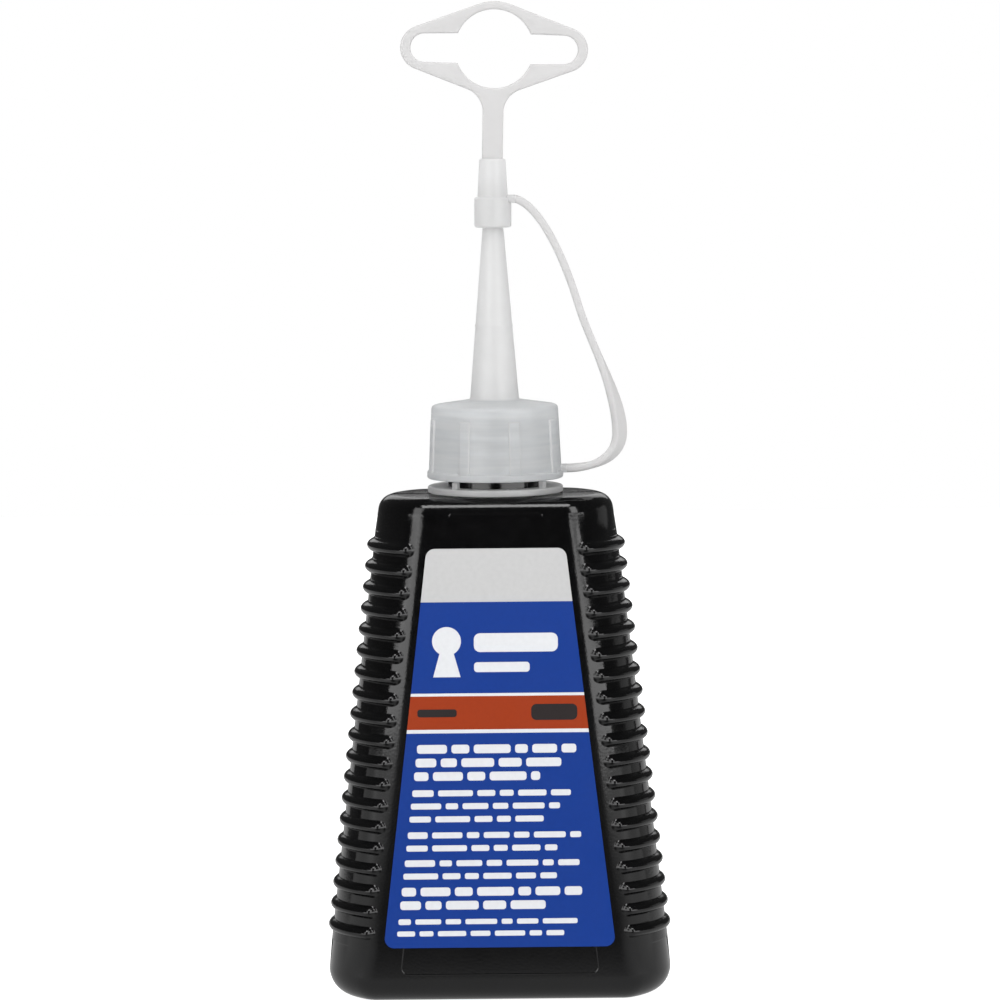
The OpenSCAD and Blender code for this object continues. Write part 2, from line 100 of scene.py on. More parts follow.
class Trees:
    """Short calls that add and join the nodes of one tree."""

    def __init__(self, tree: bpy.types.NodeTree) -> None:
        """Wrap a shader or geometry tree."""
        self.tree = tree

    def add(
        self, kind: str, inputs: dict[Any, Any] | None = None, **settings: Any
    ) -> bpy.types.Node:
        """Add a node.

        Args:
            kind: The node's type name.
            inputs: Values or sockets for the node's inputs, by name or by place.
            **settings: The node's own settings.

        Returns:
            The new node.
        """
        node = self.tree.nodes.new(kind)
        for name, value in settings.items():
            setattr(node, name, value)
        for key, value in (inputs or {}).items():
            self.feed(value, node.inputs[key])
        return node

    def feed(self, value: Any, socket: Socket) -> None:
        """Join a socket to an input, or set the input to a plain value.

        Args:
            value: An output socket, or the value.
            socket: The input.
        """
        if isinstance(value, Socket):
            self.tree.links.new(value, socket)
        else:
            socket.default_value = value

    def calc(self, operation: str, *values: Any) -> Socket:
        """Result of one operation on values or sockets."""
        return self.add("ShaderNodeMath", dict(enumerate(values)), operation=operation).outputs[0]

    def ramp(self, value: Socket, source: Point2, target: Point2, **settings: Any) -> Socket:
        """Map one range of values to another.

        Args:
            value: The value that is mapped.
            source: The range that it comes from.
            target: The range that it goes to.
            **settings: The node's own settings.

        Returns:
            The mapped value.
        """
        inputs = {"Value": value, "From Min": source[0], "From Max": source[1]}
        inputs |= {"To Min": target[0], "To Max": target[1]}
        return self.add("ShaderNodeMapRange", inputs, **settings).outputs[0]

    def mixed(self, share: Socket, first: Socket, second: Socket) -> Socket:
        """Mix of two surfaces, by the share of the second."""
        return self.add("ShaderNodeMixShader", {0: share, 1: first, 2: second}).outputs[0]


class ShapeTree:
    """A Geometry Nodes tree with named sizes, run once on an object and made a plain mesh."""

    def __init__(self, name: str) -> None:
        """Start a tree that takes and gives geometry.

        Args:
            name: The tree's name.
        """
        self.tree = bpy.data.node_groups.new(name, "GeometryNodeTree")
        self.make = Trees(self.tree)
        for way in ("INPUT", "OUTPUT"):
            self.tree.interface.new_socket("Geometry", in_out=way, socket_type="NodeSocketGeometry")
        self.entry = self.make.add("NodeGroupInput")
        self.exit = self.make.add("NodeGroupOutput")
        self.values: dict[str, Any] = {}

    @property
    def geometry(self) -> Socket:
        """The geometry that the tree is given."""
        return self.entry.outputs["Geometry"]

    def size(self, name: str, kind: str, value: Any) -> Socket:
        """Add a named input.

        Args:
            name: What the input sets.
            kind: Socket type without its NodeSocket prefix.
            value: The value that the modifier gets.

        Returns:
            The input's socket inside the tree.
        """
        kind = f"NodeSocket{kind}"
        socket = self.tree.interface.new_socket(name, in_out="INPUT", socket_type=kind)
        self.values[socket.identifier] = value
        return self.entry.outputs[name]

    def sweep(self, line: Socket, section: Socket) -> Socket:
        """Mesh of a section swept along a line, with closed ends."""
        inputs = {"Curve": line, "Profile Curve": section, "Fill Caps": True}
        return self.make.add("GeometryNodeCurveToMesh", inputs).outputs[0]

    def circle(self, steps: int, radius: Socket) -> Socket:
        """Outline of a round section."""
        inputs = {"Resolution": steps, "Radius": radius}
        return self.make.add("GeometryNodeCurvePrimitiveCircle", inputs).outputs[0]

    def run(self, geometry: Socket, material: Material, source: bpy.types.ID) -> Mesh:
        """End the tree with real geometry in one material, and run it on a mesh or curve.

        Args:
            geometry: The geometry to give out.
            material: The finish that it gets.
            source: The data that enters the tree.

        Returns:
            The result as a plain mesh.
        """
        finish = self.size("Finish", "Material", material)
        real = self.make.add("GeometryNodeRealizeInstances", {"Geometry": geometry})
        inputs = {"Geometry": real.outputs[0], "Material": finish}
        dressed = self.make.add("GeometryNodeSetMaterial", inputs)
        self.make.feed(dressed.outputs[0], self.exit.inputs["Geometry"])
        holder = link(self.tree.name, source)
        modifier = holder.modifiers.new(self.tree.name, "NODES")
        modifier.node_group = self.tree
        for identifier, value in self.values.items():
            modifier[identifier] = value
        return plain(holder, modifier)


class Draft:
    """A mesh in the making, from lofts, lathes and finished meshes."""

    def __init__(self) -> None:
        """Start with nothing."""
        self.bm = bmesh.new()

    def loft(self, rings: Sequence[Sequence[Point3]], capped: bool = True) -> None:
        """Add a skin through rows of points.

        Args:
            rings: Closed rows with equally many points, in millimetres, turning the same way.
            capped: Close the first and the last row with a face each.
        """
        rows = [[self.bm.verts.new(Vector(p) * MM) for p in ring] for ring in rings]
        around = len(rows[0])
        for low, high in zip(rows, rows[1:]):
            for j in range(around):
                k = (j + 1) % around
                self.bm.faces.new((low[j], low[k], high[k], high[j]))
        if capped:
            self.bm.faces.new(rows[0][::-1])
            self.bm.faces.new(rows[-1])

    def lathe(self, profile: Sequence[Point2], steps: int = 128) -> None:
        """Add a closed section turned about the Z axis.

        Args:
            profile: Radius and height of each corner, in millimetres.
            steps: Faces round the axis.
        """
        angles = [math.tau * i / steps for i in range(steps + 1)]
        turned = [[(r * math.cos(a), r * math.sin(a), z) for r, z in profile] for a in angles]
        self.loft(turned, capped=False)

    def fill_flat(self) -> None:
        """Close the open rows with flat faces, one for each level in Y."""
        edges = [e for e in self.bm.edges if e.is_boundary]
        for level in {round(e.verts[0].co.y, 7) for e in edges}:
            row = [e for e in edges if abs(e.verts[0].co.y - level) < MM * MM]
            bmesh.ops.triangle_fill(self.bm, use_beauty=True, use_dissolve=False, edges=row)

    def take(self, mesh: Mesh) -> None:
        """Add a finished mesh, in metres, and forget it."""
        self.bm.from_mesh(mesh)
        bpy.data.meshes.remove(mesh)

    def mesh(self, name: str, *finishes: Material, sharp_deg: float = 40.0) -> Mesh:
        """End the draft.

        Args:
            name: The mesh's name.
            *finishes: Its finishes.
            sharp_deg: Edges that turn by more than this stay sharp.

        Returns:
            A closed mesh with its faces outwards.
        """
        bmesh.ops.remove_doubles(self.bm, verts=self.bm.verts, dist=WELD_MM * MM)
        bmesh.ops.dissolve_degenerate(self.bm, dist=SLIVER_MM * MM, edges=self.bm.edges)
        bmesh.ops.delete(self.bm, geom=[e for e in self.bm.edges if e.is_wire], context="EDGES")
        bmesh.ops.recalc_face_normals(self.bm, faces=self.bm.faces)
        made = bpy.data.meshes.new(name)
        self.bm.to_mesh(made)
        self.bm.free()
        made.shade_smooth()
        made.set_sharp_from_angle(angle=math.radians(sharp_deg))
        for finish in finishes:
            made.materials.append(finish)
        return made


def link(name: str, data: bpy.types.ID | None) -> bpy.types.Object:
    """Set an object in the scene.

    Args:
        name: The object's name.
        data: Its mesh, curve, light or camera.

    Returns:
        The object.
    """
    made = bpy.data.objects.new(name, data)
    bpy.context.scene.collection.objects.link(made)
    return made


def plain(holder: bpy.types.Object, modifier: bpy.types.Modifier) -> Mesh:
    """Take an object's shape with its modifier as a plain mesh, and drop the object.

    Args:
        holder: The object.
        modifier: Its only modifier.

    Returns:
        The mesh.
    """
    graph = bpy.context.evaluated_depsgraph_get()
    mesh = bpy.data.meshes.new_from_object(holder.evaluated_get(graph), depsgraph=graph)
    holder.modifiers.remove(modifier)
    bpy.data.objects.remove(holder)
    return mesh


def place(mesh: Mesh, body: Body, slot: Slot, *nodes: str) -> None:
    """Set a mesh in the scene as a piece of the same name that rides on a body.

    Args:
        mesh: The finished mesh, in the frame.
        body: The body that it rides on.
        slot: The record's slot for its finish; not used.
        *nodes: CAD nodes that it stands for.
    """
    piece = link(mesh.name, mesh)
    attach(piece, body.value)
    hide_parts(*nodes)
    LOG.info("%s rides on %s, %d faces", piece.name, body.value, len(mesh.polygons))


def arc(
    centre: Point2, radius: float, start_deg: float, end_deg: float, steps: int
) -> list[Point2]:
    """Points along an arc.

    Args:
        centre: The arc's centre.
        radius: Its radius.
        start_deg: Angle of its first point.
        end_deg: Angle of its last point.
        steps: Stretches between the points.

    Returns:
        The points, both ends included.
    """
    angles = [math.radians(start_deg + (end_deg - start_deg) * i / steps) for i in range(steps + 1)]
    return [(centre[0] + radius * math.cos(a), centre[1] + radius * math.sin(a)) for a in angles]


def inset_loop(loop: Sequence[Point2], inset: float) -> list[Point2]:
    """Draw a closed loop in towards its left side.

    Args:
        loop: Points of the loop.
        inset: How far it is drawn in.

    Returns:
        The drawn-in points, as many as the loop's.
    """
    least_share = 0.5
    drawn: list[Point2] = []
    for i, here in enumerate(loop):
        before, after = Vector(loop[i - 1]), Vector(loop[(i + 1) % len(loop)])
        back, ahead = (Vector(here) - before).normalized(), (after - Vector(here)).normalized()
        left = (back + ahead).normalized().orthogonal()
        share = max(least_share, left.dot(back.orthogonal()))
        drawn.append(tuple(Vector(here) + left * inset / share))
    return drawn


def rounded(corners: Sequence[Point3], steps: int = 5) -> list[Point2]:
    """Outline with its corners rounded.

    Args:
        corners: x, y and rounding radius of each corner of a closed outline.
        steps: Stretches in each rounded corner.

    Returns:
        The outline's points.
    """
    points: list[Point2] = []
    for i, (x, y, radius) in enumerate(corners):
        here = Vector((x, y))
        if radius <= 0:
            points.append((x, y))
            continue
        back = (Vector(corners[i - 1][:2]) - here).normalized()
        ahead = (Vector(corners[(i + 1) % len(corners)][:2]) - here).normalized()
        half = back.angle(ahead) / 2
        reach = radius / math.tan(half)
        centre = here + (back + ahead).normalized() * (radius / math.sin(half))
        first, last = here + back * reach - centre, here + ahead * reach - centre
        sweep = first.angle_signed(last)
        for k in range(steps + 1):
            points.append(tuple(centre + Matrix.Rotation(-sweep * k / steps, 2) @ first))
    return points


def boxed(low: Point2, high: Point2, radius: float, steps: int = 5) -> list[Point2]:
    """Outline with round corners of the box between its lowest and its highest corner."""
    (x0, y0), (x1, y1) = low, high
    return rounded([(x, y, radius) for x, y in ((x0, y0), (x1, y0), (x1, y1), (x0, y1))], steps)


def polyline(name: str, lines: Iterable[Sequence[Point3]], closed: bool = False) -> bpy.types.Curve:
    """Curve through points.

    Args:
        name: The curve's name.
        lines: Points of each of its lines, in millimetres.
        closed: Join each line's last point to its first.

    Returns:
        The curve.
    """
    path = bpy.data.curves.new(name, "CURVE")
    path.dimensions = "3D"
    for line in lines:
        spline = path.splines.new("POLY")
        spline.points.add(len(line) - 1)
        for point, (x, y, z) in zip(spline.points, line):
            point.co = (x * MM, y * MM, z * MM, 1)
        spline.use_cyclic_u = closed
    return path


def united(base: Mesh, added: Mesh) -> Mesh:
    """One skin round two meshes that overlap.

    Args:
        base: The first closed mesh.
        added: The second, which may have several closed parts.

    Returns:
        The joined mesh.
    """
    holder, other = (link(mesh.name, mesh) for mesh in (base, added))
    modifier = holder.modifiers.new("union", "BOOLEAN")
    modifier.operation = "UNION"
    modifier.solver = "EXACT"
    modifier.object = other
    mesh = plain(holder, modifier)
    bpy.data.objects.remove(other)
    return mesh


def bead(
    name: str, finish: Material, path: bpy.types.Curve, width: float, steps: int = 8
) -> Mesh:
    """Round bead along a line.

    Args:
        name: The tree's name.
        finish: The bead's finish.
        path: The line.
        width: Width of the bead.
        steps: Faces round the bead.

    Returns:
        The bead as one mesh.
    """
    tree = ShapeTree(name)
    radius = tree.size("Line radius", "Float", width / 2 * MM)
    return tree.run(tree.sweep(tree.geometry, tree.circle(steps, radius)), finish, path)


def helix(
    name: str, finish: Material, radius: float, wire: float, span: Point2, pitch: float,
    turn_deg: float, steps: Sequence[int] = (48, 10),
) -> Mesh:
    """Round thread wound about the Z axis, right-handed.

    Args:
        name: The mesh's name.
        finish: The thread's finish.
        radius: Radius of the thread's centre line.
        wire: Radius of its section.
        span: Heights of its first and last point.
        pitch: Rise in one turn.
        turn_deg: Angle of its first point.
        steps: Stretches in one turn, and faces round the section.

    Returns:
        The thread as one mesh.
    """
    low, high = span
    tree = ShapeTree(name)
    line_r = tree.size("Thread radius", "Float", radius * MM)
    turns = tree.size("Turns", "Float", (high - low) / pitch)
    rise = tree.size("Rise", "Float", (high - low) * MM)
    section_r = tree.size("Section radius", "Float", wire * MM)
    foot = tree.size("Foot", "Vector", (0, 0, low * MM))
    turn = tree.size("First angle", "Vector", (0, 0, math.radians(turn_deg)))
    inputs = {"Resolution": steps[0], "Rotations": turns, "Height": rise}
    inputs |= {"Start Radius": line_r, "End Radius": line_r}
    spiral = tree.make.add("GeometryNodeCurveSpiral", inputs)
    swept = tree.sweep(spiral.outputs[0], tree.circle(steps[1], section_r))
    inputs = {"Geometry": swept, "Translation": foot, "Rotation": turn}
    set_up = tree.make.add("GeometryNodeTransform", inputs)
    return tree.run(set_up.outputs[0], finish, bpy.data.meshes.new(name))


def round_array(
    name: str, finish: Material, item: Mesh, count: int, first_deg: float
) -> Mesh:
    """Copies of one shape, spaced evenly about the Z axis.

    Args:
        name: The mesh's name.
        finish: The copies' finish.
        item: The shape, as it stands at +X.
        count: How many copies.
        first_deg: Angle of the first copy.

    Returns:
        The copies as one mesh.
    """
    tree = ShapeTree(name)
    make = tree.make
    copies = tree.size("Copies", "Int", count)
    first = tree.size("First angle", "Float", math.radians(first_deg))
    points = make.add("GeometryNodeMeshLine", {"Count": copies, "Offset": (0, 0, 0)}, mode="OFFSET")
    index = make.add("GeometryNodeInputIndex").outputs[0]
    angle = make.calc("MULTIPLY_ADD", index, make.calc("DIVIDE", math.tau, copies), first)
    turn = make.add("ShaderNodeCombineXYZ", {"Z": angle})
    facing = make.add("FunctionNodeEulerToRotation", {"Euler": turn.outputs[0]})
    placed = make.add(
        "GeometryNodeInstanceOnPoints",
        {"Points": points.outputs[0], "Instance": tree.geometry, "Rotation": facing.outputs[0]},
    )
    return tree.run(placed.outputs[0], finish, item)


def bar(low: Point3, high: Point3, radius: float, steps: int = 4, lean: float = 0.0) -> Mesh:
    """Block with its four upright edges and its ends rounded.

    Args:
        low: Its lowest corner, in millimetres.
        high: Its highest corner.
        radius: Radius of its edges.
        steps: Stretches in each rounded edge.
        lean: How far its top is drawn towards -X.

    Returns:
        The block as one mesh.
    """
    least = 0.05
    (x0, y0, z0), (x1, y1, z1) = low, high
    angles = [QUARTER * (1 - i / steps) for i in range(steps + 1)]
    sections = [(z0 + radius * (1 - math.sin(a)), radius * (1 - math.cos(a))) for a in angles]
    sections += [(z0 + z1 - z, inset) for z, inset in reversed(sections)]
    rings: list[list[Point3]] = []
    for z, inset in sections:
        shift = -lean * (z - z0) / (z1 - z0)
        corner_r = radius - inset + least
        outline = boxed((x0 + inset, y0 + inset), (x1 - inset, y1 - inset), corner_r, steps)
        rings.append([(x + shift, y, z) for x, y in outline])
    draft = Draft()
    draft.loft(rings)
    return draft.mesh("bar")


def lug(x: Point2, z: Point2, width: float = 4.0, soft: float = 0.4) -> Mesh:
    """Block that one end of the strap grows from, by its reach from the axis and its heights."""
    return bar((x[0], -width / 2, z[0]), (x[1], width / 2, z[1]), soft)


@dataclass(frozen=True)
class Finish:
    """Base of every finish: a Principled surface whose colour, gloss and grain vary with noise."""

    name: str
    dark: Colour = (0.5, 0.5, 0.5)
    light: Colour = (0.5, 0.5, 0.5)
    gloss: Point2 = (0.4, 0.5)
    cloud_mm: float = 1.0
    cloud_detail: float = 3.0
    drawn: float = 1.0
    gloss_mm: float = 1.0
    grain_mm: float = 1.0
    grain_detail: float = 2.0
    grain_depth_mm: float = 0.0
    constants: tuple[tuple[str, float], ...] = ()

    def start(self) -> tuple[Material, Trees, bpy.types.Node]:
        """Make the empty material.

        Returns:
            The material, its tree's calls and its Principled node.
        """
        material = bpy.data.materials.new(self.name)
        material.use_nodes = True
        return material, Trees(material.node_tree), material.node_tree.nodes["Principled BSDF"]

    def noise(
        self, make: Trees, grain_mm: float, detail: float = 3.0, drawn: float = 1.0
    ) -> Socket:
        """Add noise of one grain size, in Object coordinates.

        Args:
            make: The tree's calls.
            grain_mm: Height of the noise's grains.
            detail: Octaves of finer noise.
            drawn: Times that a grain is longer, level, than it is high.

        Returns:
            The noise's value, about 0.5.
        """
        where = make.add("ShaderNodeTexCoord").outputs["Object"]
        inputs = {"Vector": where, "Scale": (1 / drawn, 1 / drawn, 1)}
        mapped = make.add("ShaderNodeMapping", inputs).outputs["Vector"]
        inputs = {"Vector": mapped, "Scale": 1 / (grain_mm * MM), "Detail": detail}
        return make.add("ShaderNodeTexNoise", inputs).outputs["Fac"]

    def span(self, make: Trees, value: Socket, low: float, high: float) -> Socket:
        """Stretch noise over a range of values, from its dark grains to its light ones."""
        return make.ramp(value, NOISE_RANGE, (low, high))

    def tones(self) -> tuple[Colour, Colour]:
        """Colours at the noise's dark and light grains."""
        return self.dark, self.light

    def deepen(self, make: Trees, shader: bpy.types.Node, cloud: Socket, tint: Socket) -> None:
        """Add what a plain surface lacks: nothing, unless a finish says so."""

    def build(self) -> Material:
        """Make the material.

        Returns:
            The material.
        """
        material, make, shader = self.start()
        cloud = self.noise(make, self.cloud_mm, self.cloud_detail, self.drawn)
        low, high = self.tones()
        inputs = {0: self.span(make, cloud, 0, 1), 6: (*low, 1), 7: (*high, 1)}
        tint = make.add("ShaderNodeMix", inputs, data_type="RGBA").outputs[2]
        gloss = self.span(make, self.noise(make, self.gloss_mm), *self.gloss)
        grain = self.noise(make, self.grain_mm, self.grain_detail)
        inputs = {"Height": grain, "Distance": self.grain_depth_mm * MM, "Strength": 1.0}
        normal = make.add("ShaderNodeBump", inputs).outputs["Normal"]
        varied = (("Base Color", tint), ("Roughness", gloss), ("Normal", normal))
        for name, value in (*varied, *self.constants):
            make.feed(value, shader.inputs[name])
        self.deepen(make, shader, cloud, tint)
        return material


@dataclass(frozen=True)
class BlackPolyethylene(Finish):
    """Glossy black blow-moulded skin, with faint flow marks and a fine mould grain."""

    name: str = "black_polyethylene"
    dark: Colour = (0.0008, 0.0008, 0.0009)
    light: Colour = (0.0018, 0.0018, 0.002)
    gloss: Point2 = (0.11, 0.17)
    cloud_mm: float = 14.0
    gloss_mm: float = 2.2
    grain_mm: float = 0.5
    grain_depth_mm: float = 0.02
    constants: tuple[tuple[str, float], ...] = (("IOR", 1.51),)


@dataclass(frozen=True)
class NaturalPolyethylene(Finish):
    """Milky translucent moulding with a satin skin and faint flow clouds."""

    name: str = "natural_polyethylene"
    dark: Colour = (0.86, 0.86, 0.86)
    light: Colour = (0.90, 0.90, 0.90)
    gloss: Point2 = (0.30, 0.40)
    clear: float = 0.59
    through: Point2 = (0.14, 0.20)
    cloud_mm: float = 5.0
    gloss_mm: float = 1.6
    grain_mm: float = 0.8
    grain_depth_mm: float = 0.004
    constants: tuple[tuple[str, float], ...] = (("IOR", 1.51),)

    def deepen(self, make: Trees, shader: bpy.types.Node, cloud: Socket, tint: Socket) -> None:
        """Let light through.

        Args:
            make: The tree's calls.
            shader: The Principled node.
            cloud: The noise that varies the colour.
            tint: The varied colour.
        """
        make.feed(self.clear, shader.inputs["Transmission Weight"])
        glow = make.add("ShaderNodeBsdfTranslucent", {"Color": tint})
        share = self.span(make, cloud, *self.through)
        mix = make.mixed(share, shader.outputs["BSDF"], glow.outputs["BSDF"])
        make.feed(mix, make.tree.nodes["Material Output"].inputs["Surface"])


@dataclass(frozen=True)
class PrintedSheet(Finish):
    """One print layer of the label: ink on a satin sheet, faintly mottled by the sheet's fibres."""

    colour: Colour = (0.8, 0.8, 0.8)
    mottle: float = 0.025
    gloss: Point2 = (0.4, 0.52)
    cloud_mm: float = 0.9
    cloud_detail: float = 4.0
    gloss_mm: float = 3.0
    grain_mm: float = 0.25
    grain_depth_mm: float = 0.002
    constants: tuple[tuple[str, float], ...] = (("Specular IOR Level", 0.22),)

    def tones(self) -> tuple[Colour, Colour]:
        """Colours at the mottle's dark and light grains."""
        low = tuple(c * (1 - self.mottle) for c in self.colour)
        return low, tuple(min(1.0, c * (1 + self.mottle)) for c in self.colour)


@dataclass(frozen=True)
class GraphitePowder(Finish):
    """Fine dry powder, dark grey with small glints of its flakes."""

    name: str = "graphite_powder"
    dark: Colour = (0.02, 0.02, 0.022)
    light: Colour = (0.09, 0.09, 0.095)
    gloss: Point2 = (0.45, 0.8)
    cloud_mm: float = 0.5
    gloss_mm: float = 0.3
    grain_mm: float = 0.4
    grain_detail: float = 3.0
    grain_depth_mm: float = 0.08
    constants: tuple[tuple[str, float], ...] = (("Metallic", 0.35),)


@dataclass
class Bottle:
    """Blow-moulded bottle: tapered body, ribs, threaded neck, mould seam and front panel line."""

    height: float = 97.0
    base_w: float = 67.5
    shoulder_w: float = 44.7
    depth: float = 27.0
    corner_r: float = 6.0
    side_r: float = 16.0
    shoulder_r: float = 3.2
    base_r: float = 4.7
    wall: float = 1.0
    recess: float = 1.2
    recess_soft: float = 0.4
    rim: float = 3.5
    belt: Point2 = (10.8, 90.0)
    belt_proud: float = 0.15
    ribs: int = 19
    rib_z: Point2 = (13.6, 87.3)
    rib_w: float = 1.9
    rib_proud: float = 1.38
    rib_sunk: float = 0.39
    rib_wrap_deg: float = 70.0
    rib_steps: int = 6
    rib_foot: tuple[Point2, ...] = (
        (-0.6, 1.72), (-0.12, 1.62), (0.0, 1.47), (0.1, 1.34), (0.26, 1.22),
    )
    rib_crown_shares: tuple[Point2, ...] = (
        (0.36, 1.09), (0.57, 0.93), (0.77, 0.7), (0.92, 0.42), (0.98, 0.2), (1.0, 0.0),
    )
    neck_r: float = 9.1
    neck_soft: float = 0.3
    lip_soft: float = 0.5
    thread_out: float = 0.55
    thread_wire: float = 0.95
    thread_z: Point2 = (102.6, 110.0)
    pitch: float = 3.0
    neck_top: float = 112.4
    mouth_r: float = 7.4
    step_r: float = 10.2
    step_top: float = 97.1
    panel_z: Point2 = (5.65, 94.2)
    panel_half_w: Point2 = (19.0, 8.85)
    panel_soft: Point2 = (1.2, 0.6)
    line_w: float = 0.44
    line_sunk: float = 0.1
    seam_w: float = 0.3
    seam_sunk: float = 0.08
    seam_skip: int = 3
    corner_steps: int = 22
    edge_steps: int = 12
    flat_in: float = 0.8
    lean: float = field(init=False)
    corner_y: float = field(init=False)
    spread: float = field(init=False)
    bow: float = field(init=False)
    corner_in: float = field(init=False)
    turns: list[float] = field(init=False)

    def __post_init__(self) -> None:
        """Work out the lean of the sides, and where the bowed sides run into the corners."""
        self.lean = math.atan((self.base_w - self.shoulder_w) / 2 / self.height)
        self.corner_y = self.depth / 2 - self.corner_r
        self.spread = self.side_r - self.corner_r
        self.bow = math.asin(self.corner_y / self.spread)
        self.corner_in = self.side_r - self.spread * math.cos(self.bow)
        steps = self.corner_steps
        self.turns = [QUARTER * (i + 0.5) / (steps + 0.5) for i in range(steps + 1)]

    def half_w(self, z: float) -> float:
        """Half of the body's width at a height."""
        return self.base_w / 2 - z * math.tan(self.lean)

    def mirrored(self, quarter: Sequence[Point2], z: float) -> list[Point3]:
        """Level outline from its quarter between right side and back, mirrored to all four.

        Args:
            quarter: Points of the quarter, from +X round.
            z: Its height.

        Returns:
            Its points, from +X round.
        """
        points: list[Point3] = []
        for side, face in ((1, 1), (-1, 1), (-1, -1), (1, -1)):
            walk = quarter if side == face else quarter[::-1]
            points += [(side * x, face * y, z) for x, y in walk]
        return points

    def ring(self, half_x: float, half_y: float, radius: float, z: float) -> list[Point3]:
        """Level outline of the body: bowed sides, round corners, flat front and back.

        Args:
            half_x: Half of its width.
            half_y: Half of its depth.
            radius: Radius of its corners.
            z: Its height.

        Returns:
            Its points, from +X round.
        """
        across, lift = half_x - radius - self.spread, half_y - radius - self.corner_y
        corner_x = across + self.spread * math.cos(self.bow)
        quarter: list[Point2] = []
        for turn in self.turns:
            if turn < self.bow:
                reach = radius + self.spread
                quarter.append((across + reach * math.cos(turn), lift + reach * math.sin(turn)))
            else:
                y = lift + self.corner_y + radius * math.sin(turn)
                quarter.append((corner_x + radius * math.cos(turn), y))
        quarter.append((corner_x - self.flat_in, half_y))
        return self.mirrored(quarter, z)

    def level(self, z: float, inset: float) -> list[Point3]:
        """Outline of the outside at a height, its sides drawn in by an inset."""
        half_x = self.half_w(z) - inset / math.cos(self.lean)
        return self.ring(half_x, self.depth / 2, self.corner_r, z)

    def edge(
        self, inset: Point2, edge_r: float, z: float, start: float, end: float
    ) -> list[list[Point3]]:
        """Outlines round one rounded edge.

        Args:
            inset: How far the sides, and the front and back, are drawn in.
            edge_r: Radius of the edge.
            z: Height of the edge's centre.
            start: First angle of the edge's section.
            end: Last angle of the edge's section.

        Returns:
            The outlines.
        """
        side_in, front_in = inset
        middle = self.half_w(z) - (side_in + edge_r) / math.cos(self.lean)
        plan_r = self.corner_r - front_in - edge_r
        rings = []
        for i in range(self.edge_steps + 1):
            angle = start + (end - start) * i / self.edge_steps
            out = edge_r * math.cos(angle)
            out_y = edge_r if abs(angle) <= self.lean + 1e-6 else out
            half_y = self.corner_y + plan_r + out_y
            level = z + edge_r * math.sin(angle)
            rings.append(self.ring(middle + out, half_y, plan_r + out, level))
        return rings

    def circle(self, radius: float, z: float) -> list[Point3]:
        """Round outline with the body's count of points.

        Args:
            radius: Its radius.
            z: Its height.

        Returns:
            Its points, from +X round.
        """
        count = len(self.turns) + 1
        turns = [QUARTER * (i + 0.5) / count for i in range(count)]
        return self.mirrored([(radius * math.cos(t), radius * math.sin(t)) for t in turns], z)

    def hollow(self, half_x: float, radius: float, z: float) -> list[Point3]:
        """Outline with round ends and the body's count of points."""
        quarter = [(half_x - radius * (1 - math.cos(t)), radius * math.sin(t)) for t in self.turns]
        return self.mirrored([*quarter, (half_x - radius - self.flat_in, radius)], z)

    def outside(self, belt: Sequence[list[Point3]]) -> list[list[Point3]]:
        """Outlines up the outside, with given ones between the base's edge and the shoulder's.

        Args:
            belt: The given outlines, from the lowest up.

        Returns:
            All the outlines, from the lowest up.
        """
        inset, foot_r, top_r = (self.belt_proud, 0), self.base_r, self.shoulder_r
        foot = self.edge(inset, foot_r, foot_r, -QUARTER, self.lean)
        return [*foot, *belt, *self.edge(inset, top_r, self.height - top_r, self.lean, QUARTER)]

    def shell_rings(self) -> list[list[Point3]]:
        """Outlines from under the base, up the outside, over the lip and down the inside."""
        proud, wall, soft = self.belt_proud, self.wall, self.recess_soft
        recess_r = self.depth / 2 - self.base_r - self.rim
        recess_x = self.half_w(0) - self.base_r - self.rim
        steps = (
            (-soft, self.recess), (-soft / 4, self.recess - soft / 3), (0, soft / 2), (soft / 2, 0),
        )
        rings = [self.hollow(recess_x + out, recess_r + out, z) for out, z in steps]
        low, high = self.belt
        belt = ((low - proud, proud), (low, 0), (high, 0), (high + proud, proud))
        rings += self.outside([self.level(z, inset) for z, inset in belt])
        neck = rounded(
            [
                (self.step_r, self.height, 0),
                (self.step_r, self.step_top, 0),
                (self.neck_r, self.step_top, self.neck_soft),
                (self.neck_r, self.neck_top, self.lip_soft),
                (self.mouth_r, self.neck_top, self.lip_soft),
                (self.mouth_r, self.height - wall, 0),
            ]
        )
        rings += [self.circle(r, z) for r, z in neck]
        top_r, foot_r = self.shoulder_r - wall, self.base_r - wall
        rings += self.edge((wall, wall), top_r, self.height - wall - top_r, QUARTER, self.lean)
        rings += self.edge((wall, wall), foot_r, self.recess + wall + foot_r, self.lean, -QUARTER)
        return rings

